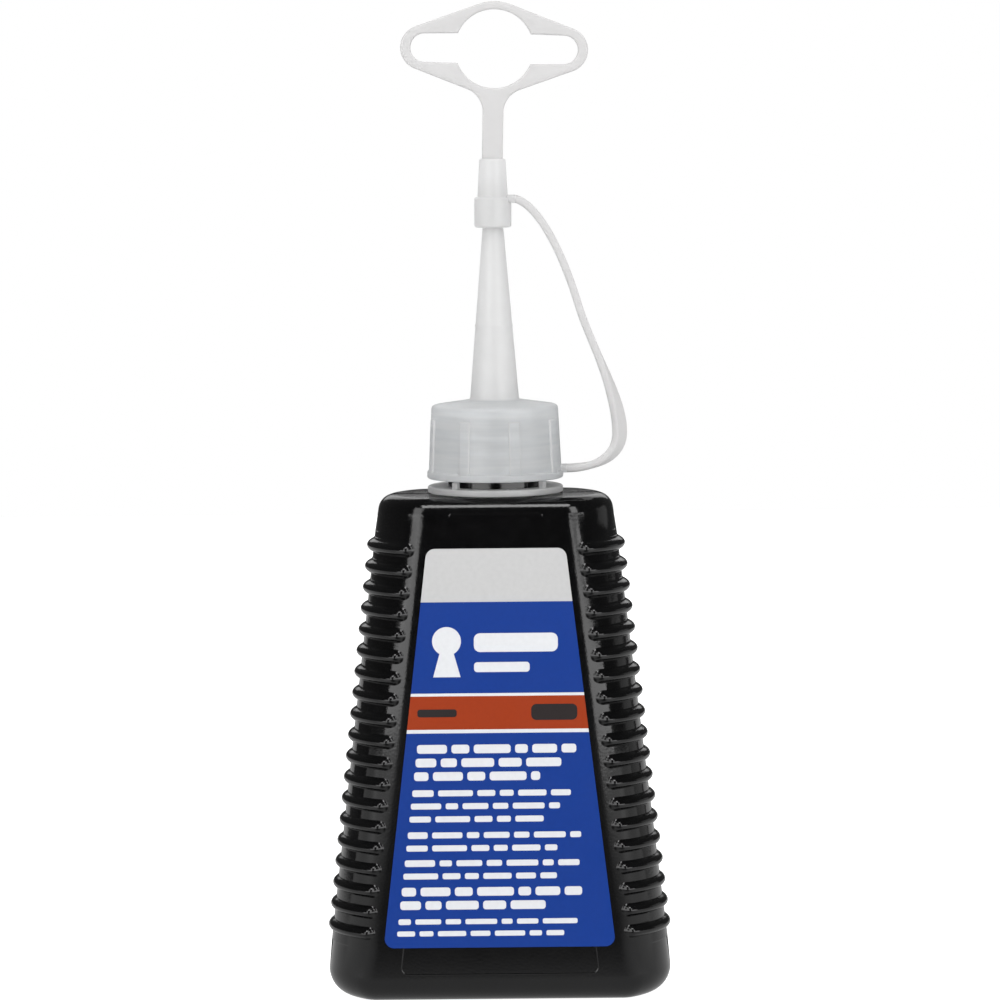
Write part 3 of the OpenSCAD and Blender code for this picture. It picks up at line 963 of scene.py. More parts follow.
    def rib(self) -> Mesh:
        """One rib round the right side, with domed tips and its corner centres on the YZ plane."""
        crown = [(share * self.rib_proud, v) for share, v in self.rib_crown_shares]
        half = [*self.rib_foot, *crown]
        section = half + [(u, -v) for u, v in reversed(half[:-1])]
        bow, n, r = math.degrees(self.bow), self.rib_steps, self.corner_r
        end = self.rib_wrap_deg - math.degrees(0.5 * self.rib_w / r)
        low, side, high = (0, -self.corner_y), (self.corner_in - self.side_r, 0), (0, self.corner_y)
        stations = [(low, r, -end, -QUARTER * (1 - k / n)) for k in range(n)]
        stations += [(low, r, -end + (end - bow) * k / n, 0) for k in range(n)]
        stations += [(side, self.side_r, bow * (k / (2 * n) - 1), 0) for k in range(4 * n + 1)]
        stations += [(high, r, bow + (end - bow) * k / n, 0) for k in range(1, n + 1)]
        stations += [(high, r, end, QUARTER * k / n) for k in range(1, n + 1)]
        rings: list[list[Point3]] = []
        for centre, radius, turn_deg, dome in stations:
            turn = math.radians(turn_deg)
            out = Vector((math.cos(turn), math.sin(turn)))
            along = Vector((-math.sin(turn), math.cos(turn)))
            ring = []
            for u, v in section:
                at = Vector(centre) + out * (radius + u) + along * abs(v) * math.sin(dome)
                ring.append((at.x, at.y, v * math.cos(dome)))
            rings.append(ring)
        draft = Draft()
        draft.loft(rings, capped=False)
        return draft.mesh("rib")

    def rib_rows(self, finish: Material) -> Mesh:
        """Both rows of ribs, stepped along the leaning sides.

        Args:
            finish: The ribs' finish.

        Returns:
            The ribs as one mesh.
        """
        low, high = self.rib_z
        step = (high - low) / (self.ribs - 1)
        tree = ShapeTree("side_ribs")
        make = tree.make
        count = tree.size("Ribs", "Int", self.ribs)
        root = self.half_w(low) - self.corner_in - self.rib_sunk
        drift = self.rib_sunk / (self.ribs - 1) - step * math.tan(self.lean)
        first = tree.size("Lowest rib", "Vector", (root * MM, 0, low * MM))
        offset = tree.size("Step", "Vector", (drift * MM, 0, step * MM))
        inputs = {"Count": count, "Start Location": first, "Offset": offset}
        line = make.add("GeometryNodeMeshLine", inputs, mode="OFFSET")
        inputs = {"Points": line.outputs[0], "Instance": tree.geometry}
        right = make.add("GeometryNodeInstanceOnPoints", inputs)
        inputs = {"Geometry": right.outputs[0], "Rotation": (0, 0, math.pi)}
        left = make.add("GeometryNodeTransform", inputs)
        both = make.add("GeometryNodeJoinGeometry")
        for row in (right, left):
            make.feed(row.outputs[0], both.inputs[0])
        return tree.run(both.outputs[0], finish, self.rib())

    def seam(self) -> bpy.types.Curve:
        """Line that the mould's two halves leave over the shoulder and down both sides."""
        rings = self.outside([self.level(z, 0) for z in self.belt])[self.seam_skip:]
        top = self.height - self.seam_sunk
        line = [(ring[0][0] - self.seam_sunk, ring[0][2]) for ring in rings]
        line[-1:] = [(line[-1][0], top), (self.step_r, top)]
        return polyline("seam", [[(side * x, 0, z) for x, z in line] for side in (1, -1)])

    def panel_line(self) -> bpy.types.Curve:
        """Line round the front panel."""
        (low, high), (low_w, high_w) = self.panel_z, self.panel_half_w
        low_r, high_r = self.panel_soft
        bend = self.height - self.shoulder_r
        bend_w = high_w + (low_w - high_w) * (high - bend) / (high - low)
        corners = [(-low_w, low, low_r), (low_w, low, low_r), (bend_w, bend, 0)]
        corners += [(high_w, high, high_r), (-high_w, high, high_r), (-bend_w, bend, 0)]
        line: list[Point3] = []
        for x, z in rounded(corners):
            rise = min(1.0, max(0.0, z - bend) / self.shoulder_r)
            back = self.shoulder_r * (1 - math.sqrt(1 - rise**2))
            line.append((x, back + self.line_sunk - self.depth / 2, z))
        return polyline("panel_line", [line], closed=True)

    def build(self, finish: Material) -> None:
        """Make the bottle and set it in the scene.

        Args:
            finish: The bottle's finish.
        """
        shell = Draft()
        shell.loft(self.shell_rings())
        whole = Draft()
        whole.take(shell.mesh("shell"))
        whole.take(self.rib_rows(finish))
        whole.take(bead("front_panel_line", finish, self.panel_line(), self.line_w))
        whole.take(bead("mould_seam", finish, self.seam(), self.seam_w))
        thread_r, wire = self.neck_r + self.thread_out, self.thread_wire
        whole.take(helix("neck_thread", finish, thread_r, wire, self.thread_z, self.pitch, 0.0))
        place(whole.mesh("bottle_shell", finish), Body.BOTTLE, Slot.BLACK, "bottle")


@dataclass
class TamperRing:
    """Flat ring under the cap, with the stubs of its bridges."""

    outer_r: float = 13.0
    bore_r: float = 9.3
    foot: float = 97.25
    top: float = 98.55
    soft: float = 0.35
    bridges: int = 4
    bridge_w: float = 1.2
    bridge_h: float = 1.3
    bridge_r: float = 11.75
    bridge_soft: float = 0.25
    bridge_sunk: float = 0.4
    first_deg: float = -40.0

    def build(self, finish: Material) -> None:
        """Make the ring and set it in the scene.

        Args:
            finish: The ring's finish, a darker copy of the natural polyethylene that paints the
                shade under the cap.
        """
        ring = Draft()
        ring.lathe(boxed((self.bore_r, self.foot), (self.outer_r, self.top), self.soft))
        half = self.bridge_w / 2
        low = (self.bridge_r - half, -half, self.top - self.bridge_sunk)
        stub = bar(low, (self.bridge_r + half, half, self.top + self.bridge_h), self.bridge_soft)
        ring.take(round_array("bridges", finish, stub, self.bridges, self.first_deg))
        place(ring.mesh("tamper_ring_dressed", finish), Body.RING, Slot.NATURAL, "tamper_ring")


@dataclass
class SpoutCap:
    """Screw cap with grip bars, drawn out into a long hollow nozzle."""

    foot: float = 100.0
    rim_r: float = 13.1
    rim_top: float = 101.5
    skirt_low_r: float = 12.75
    skirt_high_r: float = 12.15
    shoulder: float = 114.0
    edge_r: float = 0.8
    bore_r: float = 10.8
    ceiling: float = 112.6
    nozzle_foot: float = 115.1
    nozzle_low_r: float = 4.7
    nozzle_tip_r: float = 1.25
    tip: float = 157.0
    bead_z: float = 129.3
    bead_r: float = 0.07
    bead_half_h: float = 0.45
    foot_soft: Point2 = (0.2, 0.35)
    rim_soft: Point2 = (0.4, 0.15)
    nozzle_soft: float = 0.5
    tip_soft: Point2 = (0.3, 0.15)
    channel_soft: Point2 = (0.5, 0.2)
    ceiling_soft: float = 0.5
    channel_low_r: float = 3.6
    outlet_r: float = 0.6
    grips: int = 8
    grip_w: float = 2.3
    grip_proud: float = 0.35
    grip_sunk: float = 0.6
    grip_low: float = 0.3
    grip_soft: float = 0.28
    grip_top: float = 111.5
    grip_first_deg: float = -72.7
    edge_out: float = 0.03
    edge_facing: float = 0.97
    thread_wire: float = 0.75
    thread_z: Point2 = (102.9, 110.3)
    thread_first_deg: float = 180.0
    pitch: float = 3.0
    lug_x: Point2 = (11.6, 14.1)
    lug_z: Point2 = (100.956, 102.406)

    def nozzle_r(self, z: float) -> float:
        """Outer radius of the nozzle at a height."""
        share = (z - self.nozzle_foot) / (self.tip - self.nozzle_foot)
        return self.nozzle_low_r + (self.nozzle_tip_r - self.nozzle_low_r) * share

    def section(self) -> list[Point2]:
        """Closed half section of the cap and nozzle, with the rounding of each corner."""
        thin_ring: list[Point3] = []
        for share in (-1, -2 / 3, -1 / 3, 0, 1 / 3, 2 / 3, 1):
            z = self.bead_z + share * self.bead_half_h
            thin_ring.append((self.nozzle_r(z) + self.bead_r * math.cos(QUARTER * share), z, 0))
        return rounded(
            [
                (self.bore_r, self.foot, self.foot_soft[0]),
                (self.rim_r, self.foot, self.foot_soft[1]),
                (self.rim_r, self.rim_top, self.rim_soft[0]),
                (self.skirt_low_r, self.rim_top, self.rim_soft[1]),
                (self.skirt_high_r, self.shoulder, self.edge_r),
                (self.nozzle_low_r, self.nozzle_foot, self.nozzle_soft),
                *thin_ring,
                (self.nozzle_tip_r, self.tip, self.tip_soft[0]),
                (self.outlet_r, self.tip, self.tip_soft[1]),
                (self.channel_low_r, self.nozzle_foot, self.channel_soft[0]),
                (self.channel_low_r, self.ceiling, self.channel_soft[1]),
                (self.bore_r, self.ceiling, self.ceiling_soft),
            ]
        )

    def skirt_r(self, z: float) -> float:
        """Outer radius of the skirt at a height."""
        share = (z - self.rim_top) / (self.shoulder - self.rim_top)
        return self.skirt_low_r + (self.skirt_high_r - self.skirt_low_r) * share

    def is_nozzle_or_highlight_edge(self, face: bpy.types.MeshPolygon) -> bool:
        """Whether a face lies on the nozzle, or on a grip bar's edge where the paler finish paints
        a highlight line.

        Args:
            face: The face.

        Returns:
            Whether the face takes the pale finish.
        """
        x, y, z = (c / MM for c in face.center)
        if z > self.nozzle_foot:
            return True
        radius = math.hypot(x, y)
        facing = (face.normal.x * x + face.normal.y * y) / radius
        on_bar = self.rim_top < z < self.grip_top and radius > self.skirt_r(z) + self.edge_out
        return on_bar and facing < self.edge_facing

    def build(self, finish: Material, pale: Material) -> None:
        """Make the cap and set it in the scene.

        Args:
            finish: The skirt's finish, darker and bluish, with level streaks painted as shade of
                the black neck and its thread behind the wall.
            pale: The nozzle's own finish, also laid on the grip bars' edges as a painted highlight.
        """
        turned = Draft()
        turned.lathe(self.section())
        half, low_r = self.grip_w / 2, self.skirt_low_r
        low = (low_r - self.grip_sunk, -half, self.rim_top - self.grip_low)
        lean = low_r - self.skirt_r(self.grip_top)
        grip = bar(low, (low_r + self.grip_proud, half, self.grip_top), self.grip_soft, lean=lean)
        added = Draft()
        added.take(round_array("grip_bars", finish, grip, self.grips, self.grip_first_deg))
        added.take(lug(self.lug_x, self.lug_z))
        cap = Draft()
        cap.take(united(turned.mesh("turned_cap"), added.mesh("cap_bars")))
        wire, first = self.thread_wire, self.thread_first_deg
        cap.take(helix("cap_thread", finish, self.bore_r, wire, self.thread_z, self.pitch, first))
        mesh = cap.mesh("spout_cap_dressed", finish, pale)
        # The nozzle takes the paler finish as its own tone; the grip bars' edges take it as a
        # painted highlight.
        for face in mesh.polygons:
            face.material_index = int(self.is_nozzle_or_highlight_edge(face))
        place(mesh, Body.CAP, Slot.NATURAL, "spout_cap")


@dataclass
class TipClosure:
    """Collar and sleeve that plug over the nozzle's tip, with the lug that the strap grows from."""

    foot: float = 148.1
    collar_r: float = 3.55
    collar_top: float = 153.9
    sleeve_low_r: float = 2.9
    sleeve_high_r: float = 2.5
    top: float = 161.3
    soft: float = 0.5
    socket_low_r: float = 2.1
    socket_high_r: float = 1.36
    socket_top: float = 157.12
    socket_soft: float = 0.2
    step_soft: float = 0.1
    steps: int = 96
    lug_x: Point2 = (2.6, 4.7)
    lug_z: Point2 = (152.81, 154.26)

    def build(self, finish: Material) -> None:
        """Make the closure and set it in the scene.

        Args:
            finish: The closure's finish.
        """
        section = rounded(
            [
                (self.socket_low_r, self.foot, self.socket_soft),
                (self.collar_r, self.foot, self.soft),
                (self.collar_r, self.collar_top, self.soft),
                (self.sleeve_low_r, self.collar_top, self.step_soft),
                (self.sleeve_high_r, self.top, self.soft),
                (0.0, self.top, 0),
                (0.0, self.socket_top, 0),
                (self.socket_high_r, self.socket_top, self.socket_soft),
            ]
        )
        closure = Draft()
        closure.lathe(section, self.steps)
        closure.take(lug(self.lug_x, self.lug_z))
        mesh = closure.mesh("tip_closure_dressed", finish)
        place(mesh, Body.CLOSURE, Slot.NATURAL, "tip_closure")


@dataclass
class HangTab:
    """Flat plate with a hanging slot and a round opening, on a narrow stem."""

    foot: float = 161.3
    foot_sunk: float = 0.15
    thick: float = 1.6
    soft: float = 0.35
    soft_steps: int = 4
    sharp_deg: float = 50.0
    stem_w: float = 4.0
    eye_z: float = 182.2
    eye_r: float = 7.5
    eye_wall: float = 1.55
    slot_l: float = 32.0
    slot_end_h: float = 5.4
    slot_mid_h: float = 6.0
    slot_wall: float = 1.95
    slot_in: float = 0.1
    end_r: float = 4.3
    flare_r: float = 4.6
    turn_deg: float = 1.5
    edge_steps: int = 12
    slot_steps: int = 10

    def outline(self) -> list[Point2]:
        """Outer edge, about the round opening's centre."""
        plate_r = self.eye_r + self.eye_wall
        end_x = self.slot_l / 2 + self.slot_wall - self.end_r
        tilt = math.degrees(math.asin((plate_r - self.end_r) / end_x))
        flare_x = self.stem_w / 2 + self.flare_r
        slope = math.radians(tilt)
        flare_z = (flare_x * math.sin(slope) - plate_r - self.flare_r) / math.cos(slope)
        right = [(self.stem_w / 2, self.foot - self.eye_z - self.foot_sunk)]
        right += arc((flare_x, flare_z), self.flare_r, 180, 90 + tilt, self.edge_steps)
        right += arc((end_x, 0), self.end_r, tilt - 90, 90 - tilt, 2 * self.edge_steps)
        right += arc((0, 0), plate_r, 90 - tilt, 90, self.edge_steps)
        return right + [(-x, z) for x, z in reversed(right[:-1])]

    def opening(self) -> list[Point2]:
        """Edge of the slot and the round opening, about its centre."""
        mid, end = self.slot_mid_h / 2, self.slot_end_h / 2
        end_x = self.slot_l / 2 - end
        tilt = math.asin((mid - end) / end_x)
        drop = mid / math.cos(tilt) - (self.eye_r - self.slot_in) * math.tan(tilt)
        start = math.degrees(math.atan2(drop, math.sqrt(self.eye_r**2 - drop**2)))
        right = arc((end_x, 0), end, 0, 90 - math.degrees(tilt), self.slot_steps)
        right += arc((0, 0), self.eye_r, start, 90, 2 * self.slot_steps)
        top = right + [(-x, z) for x, z in reversed(right[:-1])]
        return top + [(x, -z) for x, z in reversed(top[1:-1])]

    def turned(self, x: float, y: float, z: float) -> Point3:
        """Place in the frame of a point about the opening's centre, with the tab bent sideways.

        Args:
            x: How far the point lies to the right.
            y: How far it lies back.
            z: How far it lies up.

        Returns:
            The point's place in the frame.
        """
        turn, rise = math.radians(self.turn_deg), z + self.eye_z - self.foot
        across = x * math.cos(turn) + rise * math.sin(turn)
        return (across, y, self.foot + rise * math.cos(turn) - x * math.sin(turn))

    def build(self, finish: Material) -> None:
        """Make the tab and set it in the scene.

        Args:
            finish: The tab's finish, a darker copy of the natural polyethylene that paints its
                shade.
        """
        half, soft = self.thick / 2, self.soft
        turns = [QUARTER * i / self.soft_steps for i in range(self.soft_steps + 1)]
        levels = [(soft * (1 - math.cos(t)), half - soft * (1 - math.sin(t))) for t in turns]
        levels = [(inset, -y) for inset, y in reversed(levels)] + levels
        draft = Draft()
        for loop in (self.outline(), self.opening()[::-1]):
            rows = [(y, inset_loop(loop, inset)) for inset, y in levels]
            draft.loft([[self.turned(x, y, z) for x, z in row] for y, row in rows], capped=False)
        draft.fill_flat()
        mesh = draft.mesh("hang_tab_dressed", finish, sharp_deg=self.sharp_deg)
        place(mesh, Body.CLOSURE, Slot.NATURAL, "hang_tab")


@dataclass
class Strap:
    """Moulded band from the tip closure down to the cap's rim, twisted at its outer bend."""

    width: float = 4.0
    thick: float = 1.45
    soft: float = 0.45
    soft_steps: int = 4
    sharp_deg: float = 60.0
    runs: tuple[tuple[Point2, Point2, Point2, Point2], ...] = (
        ((4.3, 153.54), (9.31, 152.19), (13.92, 141.18), (16.22, 133.17)),
        ((16.22, 133.17), (18.24, 126.17), (24.0, 115.99), (24.0, 108.48)),
        ((24.0, 108.48), (24.0, 104.4), (20.5, 101.68), (13.7, 101.68)),
    )
    twist_deg: float = 30.0
    twist_share: float = 0.68
    steps: int = 36

    def stations(self) -> list[tuple[Point3, float]]:
        """Places along the strap's line, each with its turn in radians."""
        places = []
        last = len(self.runs) - 1
        for i in range(len(self.runs) * self.steps + 1):
            index = min(i // self.steps, last)
            t = i / self.steps - index
            weights = ((1 - t) ** 3, 3 * (1 - t) ** 2 * t, 3 * (1 - t) * t**2, t**3)
            x, z = (sum(w * p[axis] for w, p in zip(weights, self.runs[index])) for axis in (0, 1))
            away = t if index == last else (last - index - t) / self.twist_share
            turn = math.radians(self.twist_deg) * math.cos(QUARTER * min(away, 1.0)) ** 2
            places.append(((x, 0, z), turn))
        return places

    def build(self, finish: Material) -> None:
        """Make the strap along its bent line from the closure down to the cap.

        Args:
            finish: The strap's finish, a darker copy of the natural polyethylene that paints its
                shade.
        """
        places = self.stations()
        path = polyline("strap_line", [[place for place, _ in places]])
        for point, (_, turn) in zip(path.splines[0].points, places):
            point.tilt = turn
        tree = ShapeTree("strap_band")
        width = tree.size("Width", "Float", self.width * MM)
        thick = tree.size("Thickness", "Float", self.thick * MM)
        soft = tree.size("Edge radius", "Float", self.soft * MM)
        inputs = {"Width": width, "Height": thick}
        flat = tree.make.add("GeometryNodeCurvePrimitiveQuadrilateral", inputs)
        inputs = {"Curve": flat.outputs[0], "Radius": soft, "Limit Radius": True}
        inputs |= {"Count": self.soft_steps}
        section = tree.make.add("GeometryNodeFilletCurve", inputs, mode="POLY")
        draft = Draft()
        draft.take(tree.run(tree.sweep(tree.geometry, section.outputs[0]), finish, path))
        piece = link("strap_band", draft.mesh("strap_band", finish, sharp_deg=self.sharp_deg))
        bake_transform(piece)
        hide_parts("strap")
        LOG.info("strap_band bends between %s and %s", Body.CAP.value, Body.CLOSURE.value)


@dataclass
class Label:
    """Printed sheet on the front: colour bands, a keyhole sign and rows of plain bars."""

    low: float = 10.85
    high: float = 87.6
    low_half_w: float = 22.24
    high_half_w: float = 13.24
    corner_r: float = 1.8
    corner_steps: int = 8
    face_y: float = -13.5
    thick: float = 0.135
    ink_t: float = 0.012
    ink_sunk: float = 0.02
    bands: tuple[tuple[float, Ink], ...] = (
        (52.25, Ink.BLUE), (52.95, Ink.WHITE), (59.35, Ink.ORANGE),
        (59.9, Ink.WHITE), (77.4, Ink.BLUE), (99.0, Ink.STOCK),
    )
    sign: Point3 = (-9.6, 69.9, 2.75)
    sign_half_w: Point2 = (0.42, 0.95)
    sign_drop: Point2 = (0.6, 2.5)
    sign_ink: float = 0.6
    sign_steps: int = 48
    bars: tuple[tuple[float, float, float, float, Ink], ...] = (
        (-4.4, 11.6, 69.6, 3.6, Ink.WHITE), (-4.4, 6.2, 64.9, 1.9, Ink.WHITE),
        (-15.3, -7.8, 56.1, 1.5, Ink.DARK), (6.4, 15.2, 56.2, 3.1, Ink.DARK),
    )
    bar_round: float = 0.32
    bar_steps: int = 4
    blocks: tuple[tuple[float, int, float, float, bool], ...] = (
        (49.2, 3, 2.62, 1.5, True), (40.7, 3, 2.5, 1.15, False), (32.6, 2, 2.5, 1.15, False),
        (27.2, 2, 2.5, 1.15, False), (21.7, 2, 2.62, 1.5, True), (15.9, 2, 2.3, 1.0, False),
    )
    words: tuple[float, ...] = (5.2, 3.1, 6.4, 2.2, 4.3, 7.0, 3.6, 2.8, 5.7, 4.0, 6.1, 2.5)
    word_scale: Point2 = (0.95, 1.1)
    heavy: float = 1.12
    space: float = 0.85
    least: float = 1.6
    margin: float = 2.3
    ragged: Point2 = (0.5, 3.1)
    last_short: float = 6.0
    bm: bmesh.types.BMesh = field(default_factory=bmesh.new)

    def half_w(self, z: float) -> float:
        """Half of the label's width at a height."""
        share = (z - self.low) / (self.high - self.low)
        return self.low_half_w + (self.high_half_w - self.low_half_w) * share

    def prism(self, outline: Sequence[Point2], back: float, front: float, ink: Ink) -> None:
        """Add a flat piece.

        Args:
            outline: Its edge, x and z.
            back: Depth of its back, out of the bottle's face.
            front: Depth of its front.
            ink: Its print layer.
        """
        front_row, back_row = (
            [self.bm.verts.new(Vector((x, self.face_y - out, z)) * MM) for x, z in outline]
            for out in (front, back)
        )
        faces = [self.bm.faces.new(front_row), self.bm.faces.new(back_row[::-1])]
        for j in range(len(outline)):
            k = (j + 1) % len(outline)
            faces.append(self.bm.faces.new((front_row[k], front_row[j], back_row[j], back_row[k])))
        for face in faces:
            face.material_index = ink.value

    def sheet(self) -> None:
        """Add the sheet, its front cut into colour bands."""
        low_w, high_w, r = self.low_half_w, self.high_half_w, self.corner_r
        corners = [(-low_w, self.low, r), (low_w, self.low, r)]
        corners += [(high_w, self.high, r), (-high_w, self.high, r)]
        self.prism(rounded(corners, self.corner_steps), 0, self.thick, Ink.STOCK)
        for level, _ in self.bands[:-1]:
            everything = [*self.bm.verts, *self.bm.edges, *self.bm.faces]
            bmesh.ops.bisect_plane(
                self.bm, geom=everything, plane_co=(0, 0, level * MM), plane_no=(0, 0, 1)
            )
        for face in self.bm.faces:
            if face.normal.y < -0.5:
                z = face.calc_center_median().z / MM
                face.material_index = next(ink for level, ink in self.bands if z < level).value

    def mark(self, outline: Sequence[Point2], ink: Ink, share: float = 1.0) -> None:
        """Print one flat mark on the sheet, with a share of the ink's full thickness."""
        self.prism(outline, self.thick - self.ink_sunk, self.thick + self.ink_t * share, ink)

    def bar(self, x0: float, x1: float, z: float, height: float, ink: Ink) -> None:
        """Print one bar with round ends, centred on a height."""
        half, radius = height / 2, height * self.bar_round
        self.mark(boxed((x0, z - half), (x1, z + half), radius, self.bar_steps), ink)

    def keyhole(self, x: float, z: float, size: float) -> None:
        """Print a keyhole sign.

        Args:
            x: Its middle.
            z: Height of its round head's centre.
            size: Radius of its head.
        """
        waist, foot = (share * size for share in self.sign_half_w)
        high, low = (z - share * size for share in self.sign_drop)
        steps = self.sign_steps - 1
        self.mark(arc((x, z), size, 0, 360 * steps / self.sign_steps, steps), Ink.WHITE)
        skirt = [(x - foot, low), (x + foot, low), (x + waist, high), (x - waist, high)]
        self.mark(skirt, Ink.WHITE, self.sign_ink)

    def rows(self) -> None:
        """Print the rows of bars that stand for lines of text."""
        n = 0
        for top, lines, step, height, bold in self.blocks:
            for line in range(lines):
                z = top - line * step
                edge = self.half_w(z) - self.margin
                short = self.last_short if line == lines - 1 else 0.0
                stop = edge - (self.ragged[0] + self.ragged[1] * ((n * 7) % 5) / 4) - short
                x = -edge
                while x < stop - self.least:
                    length = min(self.words[n % len(self.words)] * self.word_scale[bold], stop - x)
                    thick = height * (self.heavy if bold or (line == 0 and x == -edge) else 1.0)
                    self.bar(x, x + length, z, thick, Ink.WHITE)
                    x += length + self.space
                    n += 1

    def build(self, inks: dict[Ink, Material]) -> None:
        """Make the label and set it in the scene.

        Args:
            inks: The finish of each print layer.
        """
        self.sheet()
        self.keyhole(*self.sign)
        for mark in self.bars:
            self.bar(*mark)
        self.rows()
        bmesh.ops.triangulate(self.bm, faces=[f for f in self.bm.faces if len(f.verts) > 4])
        mesh = bpy.data.meshes.new("label_sheet")
        self.bm.to_mesh(mesh)
        self.bm.free()
        for ink in Ink:
            mesh.materials.append(inks[ink])
        place(mesh, Body.BOTTLE, Slot.LABEL, "label")


@dataclass(frozen=True)
class Softbox:
    """One flat studio light, in metres and watts."""

    name: str
    where: Point3
    towards: Point3
    size: Point2
    power: float

    def build(self) -> None:
        """Set the light in the scene."""
        lamp = bpy.data.lights.new(self.name, "AREA")
        lamp.shape = "RECTANGLE"
        lamp.size, lamp.size_y = self.size
        lamp.energy = self.power
        holder = link(self.name, lamp)
        holder.location = self.where
        holder.visible_camera = False
        aim = Vector(self.towards) - Vector(self.where)
        holder.rotation_euler = aim.to_track_quat("-Z", "Y").to_euler()


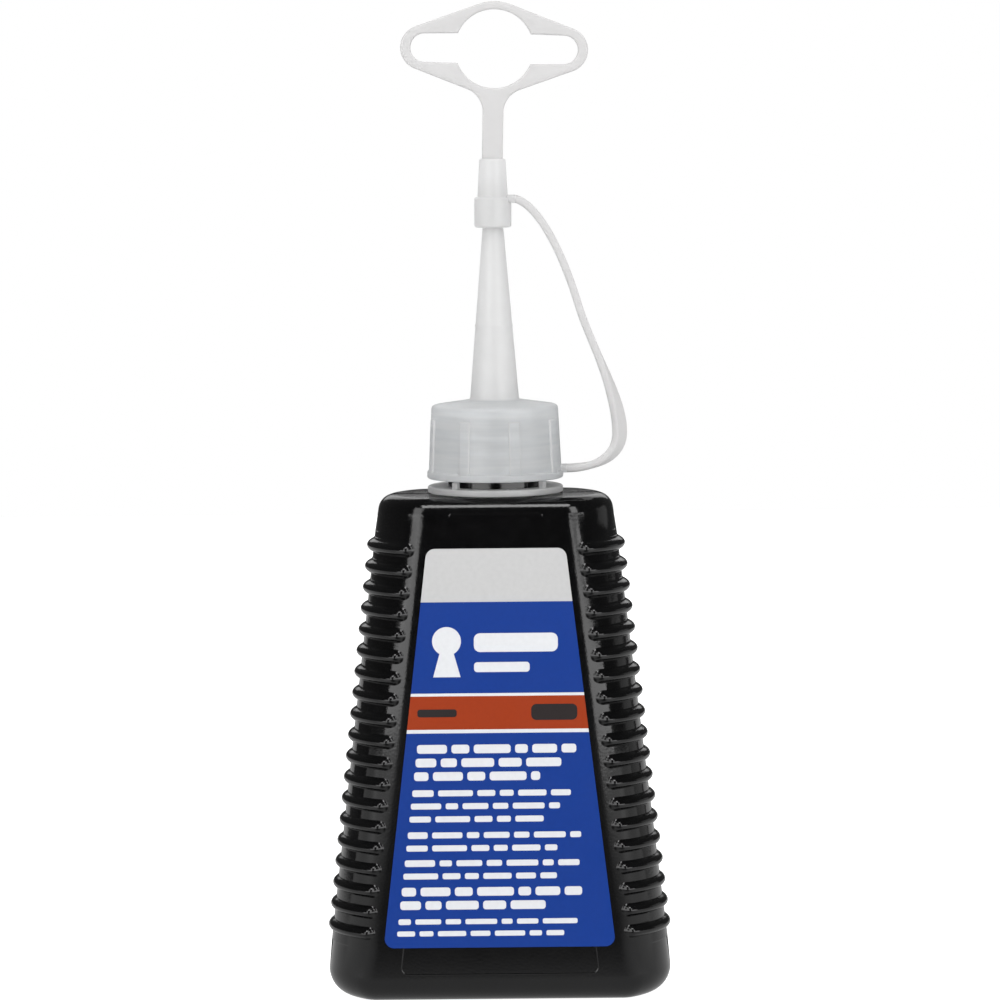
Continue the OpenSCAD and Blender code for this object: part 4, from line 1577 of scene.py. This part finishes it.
@dataclass
class Studio:
    """Pale floor, soft light and the camera, in metres."""

    eye: Point3 = (0.00085, -0.977, 0.184)
    tilt_deg: float = 5.17
    roll_deg: float = 0.55
    lens: float = 183.35
    sensor: float = 36.0
    clip_end: float = 50.0
    floor_x: float = 0.8
    floor_y: Point2 = (-0.5, 1.0)
    floor_z: float = -0.0002
    floor_colour: Colour = (0.42, 0.42, 0.42)
    floor_rough: float = 0.8
    floor_glow: float = 0.95
    glow_y: Point2 = (-0.034, -0.012)
    floor_mirror: Point2 = (0.12, 0.55)
    mirror_y: Point2 = (-0.07, -0.03)
    side_mirror: float = 0.9
    side_x: Point2 = (0.03, 0.14)
    ahead_y: Point2 = (-0.05, 0.0)
    fill: Point2 = (0.10, 1.1)
    mirror: Point2 = (0.02, 0.05)
    turn_y: Point2 = (-0.7, 0.1)
    lights: tuple[Softbox, ...] = (
        Softbox("left_box", (-0.64, -0.72, 0.05), (0, 0, 0.08), (1.05, 0.40), 3.8),
        Softbox("right_box", (0.68, -0.70, 0.05), (0, 0, 0.08), (1.15, 0.40), 4.5),
        Softbox("top_box", (0.0, -0.42, 0.96), (0, 0, 0.1), (0.50, 0.30), 3.0),
        Softbox("left_high_box", (-0.48, -0.66, 0.55), (0, 0, 0.1), (0.52, 0.72), 3.1),
        Softbox("right_high_box", (0.46, -0.62, 0.53), (0, 0, 0.1), (0.34, 0.58), 2.3),
        Softbox("rear_box", (0.0, 1.0, 0.46), (0, 0, 0.12), (0.70, 0.46), 0.8),
        Softbox("rear_side_box", (0.80, 0.46, 0.1), (0, 0, 0.1), (0.40, 0.45), 0.16),
    )

    def floor(self) -> None:
        """Lay the floor: white as seen straight, a soft light from below, dim in reflections."""
        (low, high), far = self.floor_y, self.floor_x
        mesh = bpy.data.meshes.new("floor")
        corners = [(-far, low), (far, low), (far, high), (-far, high)]
        mesh.from_pydata([(x, y, self.floor_z) for x, y in corners], [], [(0, 1, 2, 3)])
        material, make, shader = Finish("pale_floor").start()
        where = make.add("ShaderNodeTexCoord")
        split = make.add("ShaderNodeSeparateXYZ", {"Vector": where.outputs["Object"]})
        along = split.outputs["Y"]
        path = make.add("ShaderNodeLightPath")
        glow = make.ramp(along, self.glow_y, (0.0, self.floor_glow))
        shown = make.calc("MAXIMUM", glow, path.outputs["Is Camera Ray"])
        inputs = {"Base Color": (*self.floor_colour, 1), "Roughness": self.floor_rough}
        for name, value in (inputs | {"Emission Color": WHITE, "Emission Strength": shown}).items():
            make.feed(value, shader.inputs[name])
        image = make.ramp(along, self.mirror_y, self.floor_mirror)
        across = make.calc("ABSOLUTE", split.outputs["X"])
        sides = make.ramp(across, self.side_x, (0.0, self.side_mirror))
        ahead = make.ramp(along, self.ahead_y, (1.0, 0.0))
        strength = make.calc("MULTIPLY_ADD", sides, ahead, image)
        seen = make.add("ShaderNodeEmission", {"Color": WHITE, "Strength": strength})
        dim = seen.outputs["Emission"]
        mix = make.mixed(path.outputs["Is Glossy Ray"], shader.outputs["BSDF"], dim)
        make.feed(mix, material.node_tree.nodes["Material Output"].inputs["Surface"])
        mesh.materials.append(material)
        floor = link("floor", mesh)

    def sky(self) -> None:
        """Set the surround: white as seen straight, a soft fill from behind, dim in reflections."""
        world = bpy.data.worlds.new("studio")
        world.use_nodes = True
        bpy.context.scene.world = world
        make = Trees(world.node_tree)
        path = make.add("ShaderNodeLightPath")
        where = make.add("ShaderNodeTexCoord").outputs["Generated"]
        along = make.add("ShaderNodeSeparateXYZ", {"Vector": where}).outputs["Y"]
        plain_sky = world.node_tree.nodes["Background"]
        make.feed(WHITE, plain_sky.inputs["Color"])
        make.feed(1.0, plain_sky.inputs["Strength"])
        surface = plain_sky.outputs[0]
        for ray, tones in (("Is Diffuse Ray", self.fill), ("Is Glossy Ray", self.mirror)):
            strength = make.ramp(along, self.turn_y, tones, interpolation_type="SMOOTHSTEP")
            tone = make.add("ShaderNodeBackground", {"Color": WHITE, "Strength": strength})
            surface = make.mixed(path.outputs[ray], surface, tone.outputs[0])
        make.feed(surface, world.node_tree.nodes["World Output"].inputs["Surface"])

    def camera(self) -> None:
        """Set the camera at the photograph's angle."""
        data = bpy.data.cameras.new("camera")
        data.lens = self.lens
        data.sensor_width = self.sensor
        data.clip_end = self.clip_end
        camera = link("camera", data)
        tilt = Matrix.Rotation(math.radians(90 - self.tilt_deg), 4, "X")
        roll = Matrix.Rotation(math.radians(-self.roll_deg), 4, "Z")
        camera.matrix_world = Matrix.Translation(self.eye) @ tilt @ roll
        bpy.context.scene.camera = camera

    def build(self) -> None:
        """Set up the floor, the surround, the lights and the camera."""
        self.floor()
        self.sky()
        for light in self.lights:
            light.build()
        self.camera()
        bpy.context.scene.view_settings.view_transform = "Standard"


def main() -> None:
    """Build every piece in order."""
    logging.basicConfig(level=logging.INFO, format="%(name)s: %(message)s")
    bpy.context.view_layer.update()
    black = BlackPolyethylene().build()
    natural = NaturalPolyethylene().build()
    # Skirt finish: a darker, bluish copy whose level streaks are painted shade of the black neck
    # and its thread seen through the wall.
    clear = NaturalPolyethylene(
        "skirt_shade_polyethylene", (0.80, 0.82, 0.835), (0.90, 0.91, 0.915),
        clear=0.65, cloud_mm=0.8, drawn=16,
    ).build()
    # Ring finish: a darker copy of the natural polyethylene, painted shade for the ring in the
    # cap's shadow over the black shoulder.
    grey = NaturalPolyethylene(
        "ring_shade_polyethylene", (0.80, 0.80, 0.80), (0.85, 0.85, 0.85), clear=0.68
    ).build()
    # Tab and strap finish: a darker copy of the natural polyethylene, painted shade for the greyer
    # look of the thin tab and strap under the light.
    thin = NaturalPolyethylene(
        "tab_strap_shade_polyethylene", (0.61, 0.605, 0.605), (0.65, 0.645, 0.645),
        gloss=(0.5, 0.6), clear=0.12,
    ).build()
    colours = {
        Ink.STOCK: (0.475, 0.475, 0.475),
        Ink.BLUE: (0.002, 0.032, 0.222),
        Ink.ORANGE: (0.283, 0.031, 0.0032),
        Ink.WHITE: (0.64, 0.65, 0.67),
        Ink.DARK: (0.02, 0.015, 0.015),
    }
    inks = {
        ink: PrintedSheet(f"label_{ink.name.lower()}", colour=colour).build()
        for ink, colour in colours.items()
    }
    Bottle().build(black)
    Label().build(inks)
    TamperRing().build(grey)
    SpoutCap().build(clear, natural)
    TipClosure().build(natural)
    HangTab().build(thin)
    Strap().build(thin)
    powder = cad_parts["graphite_powder"]
    powder.data.materials.clear()
    powder.data.materials.append(GraphitePowder().build())
    Studio().build()


if __name__ == "__main__":
    main()
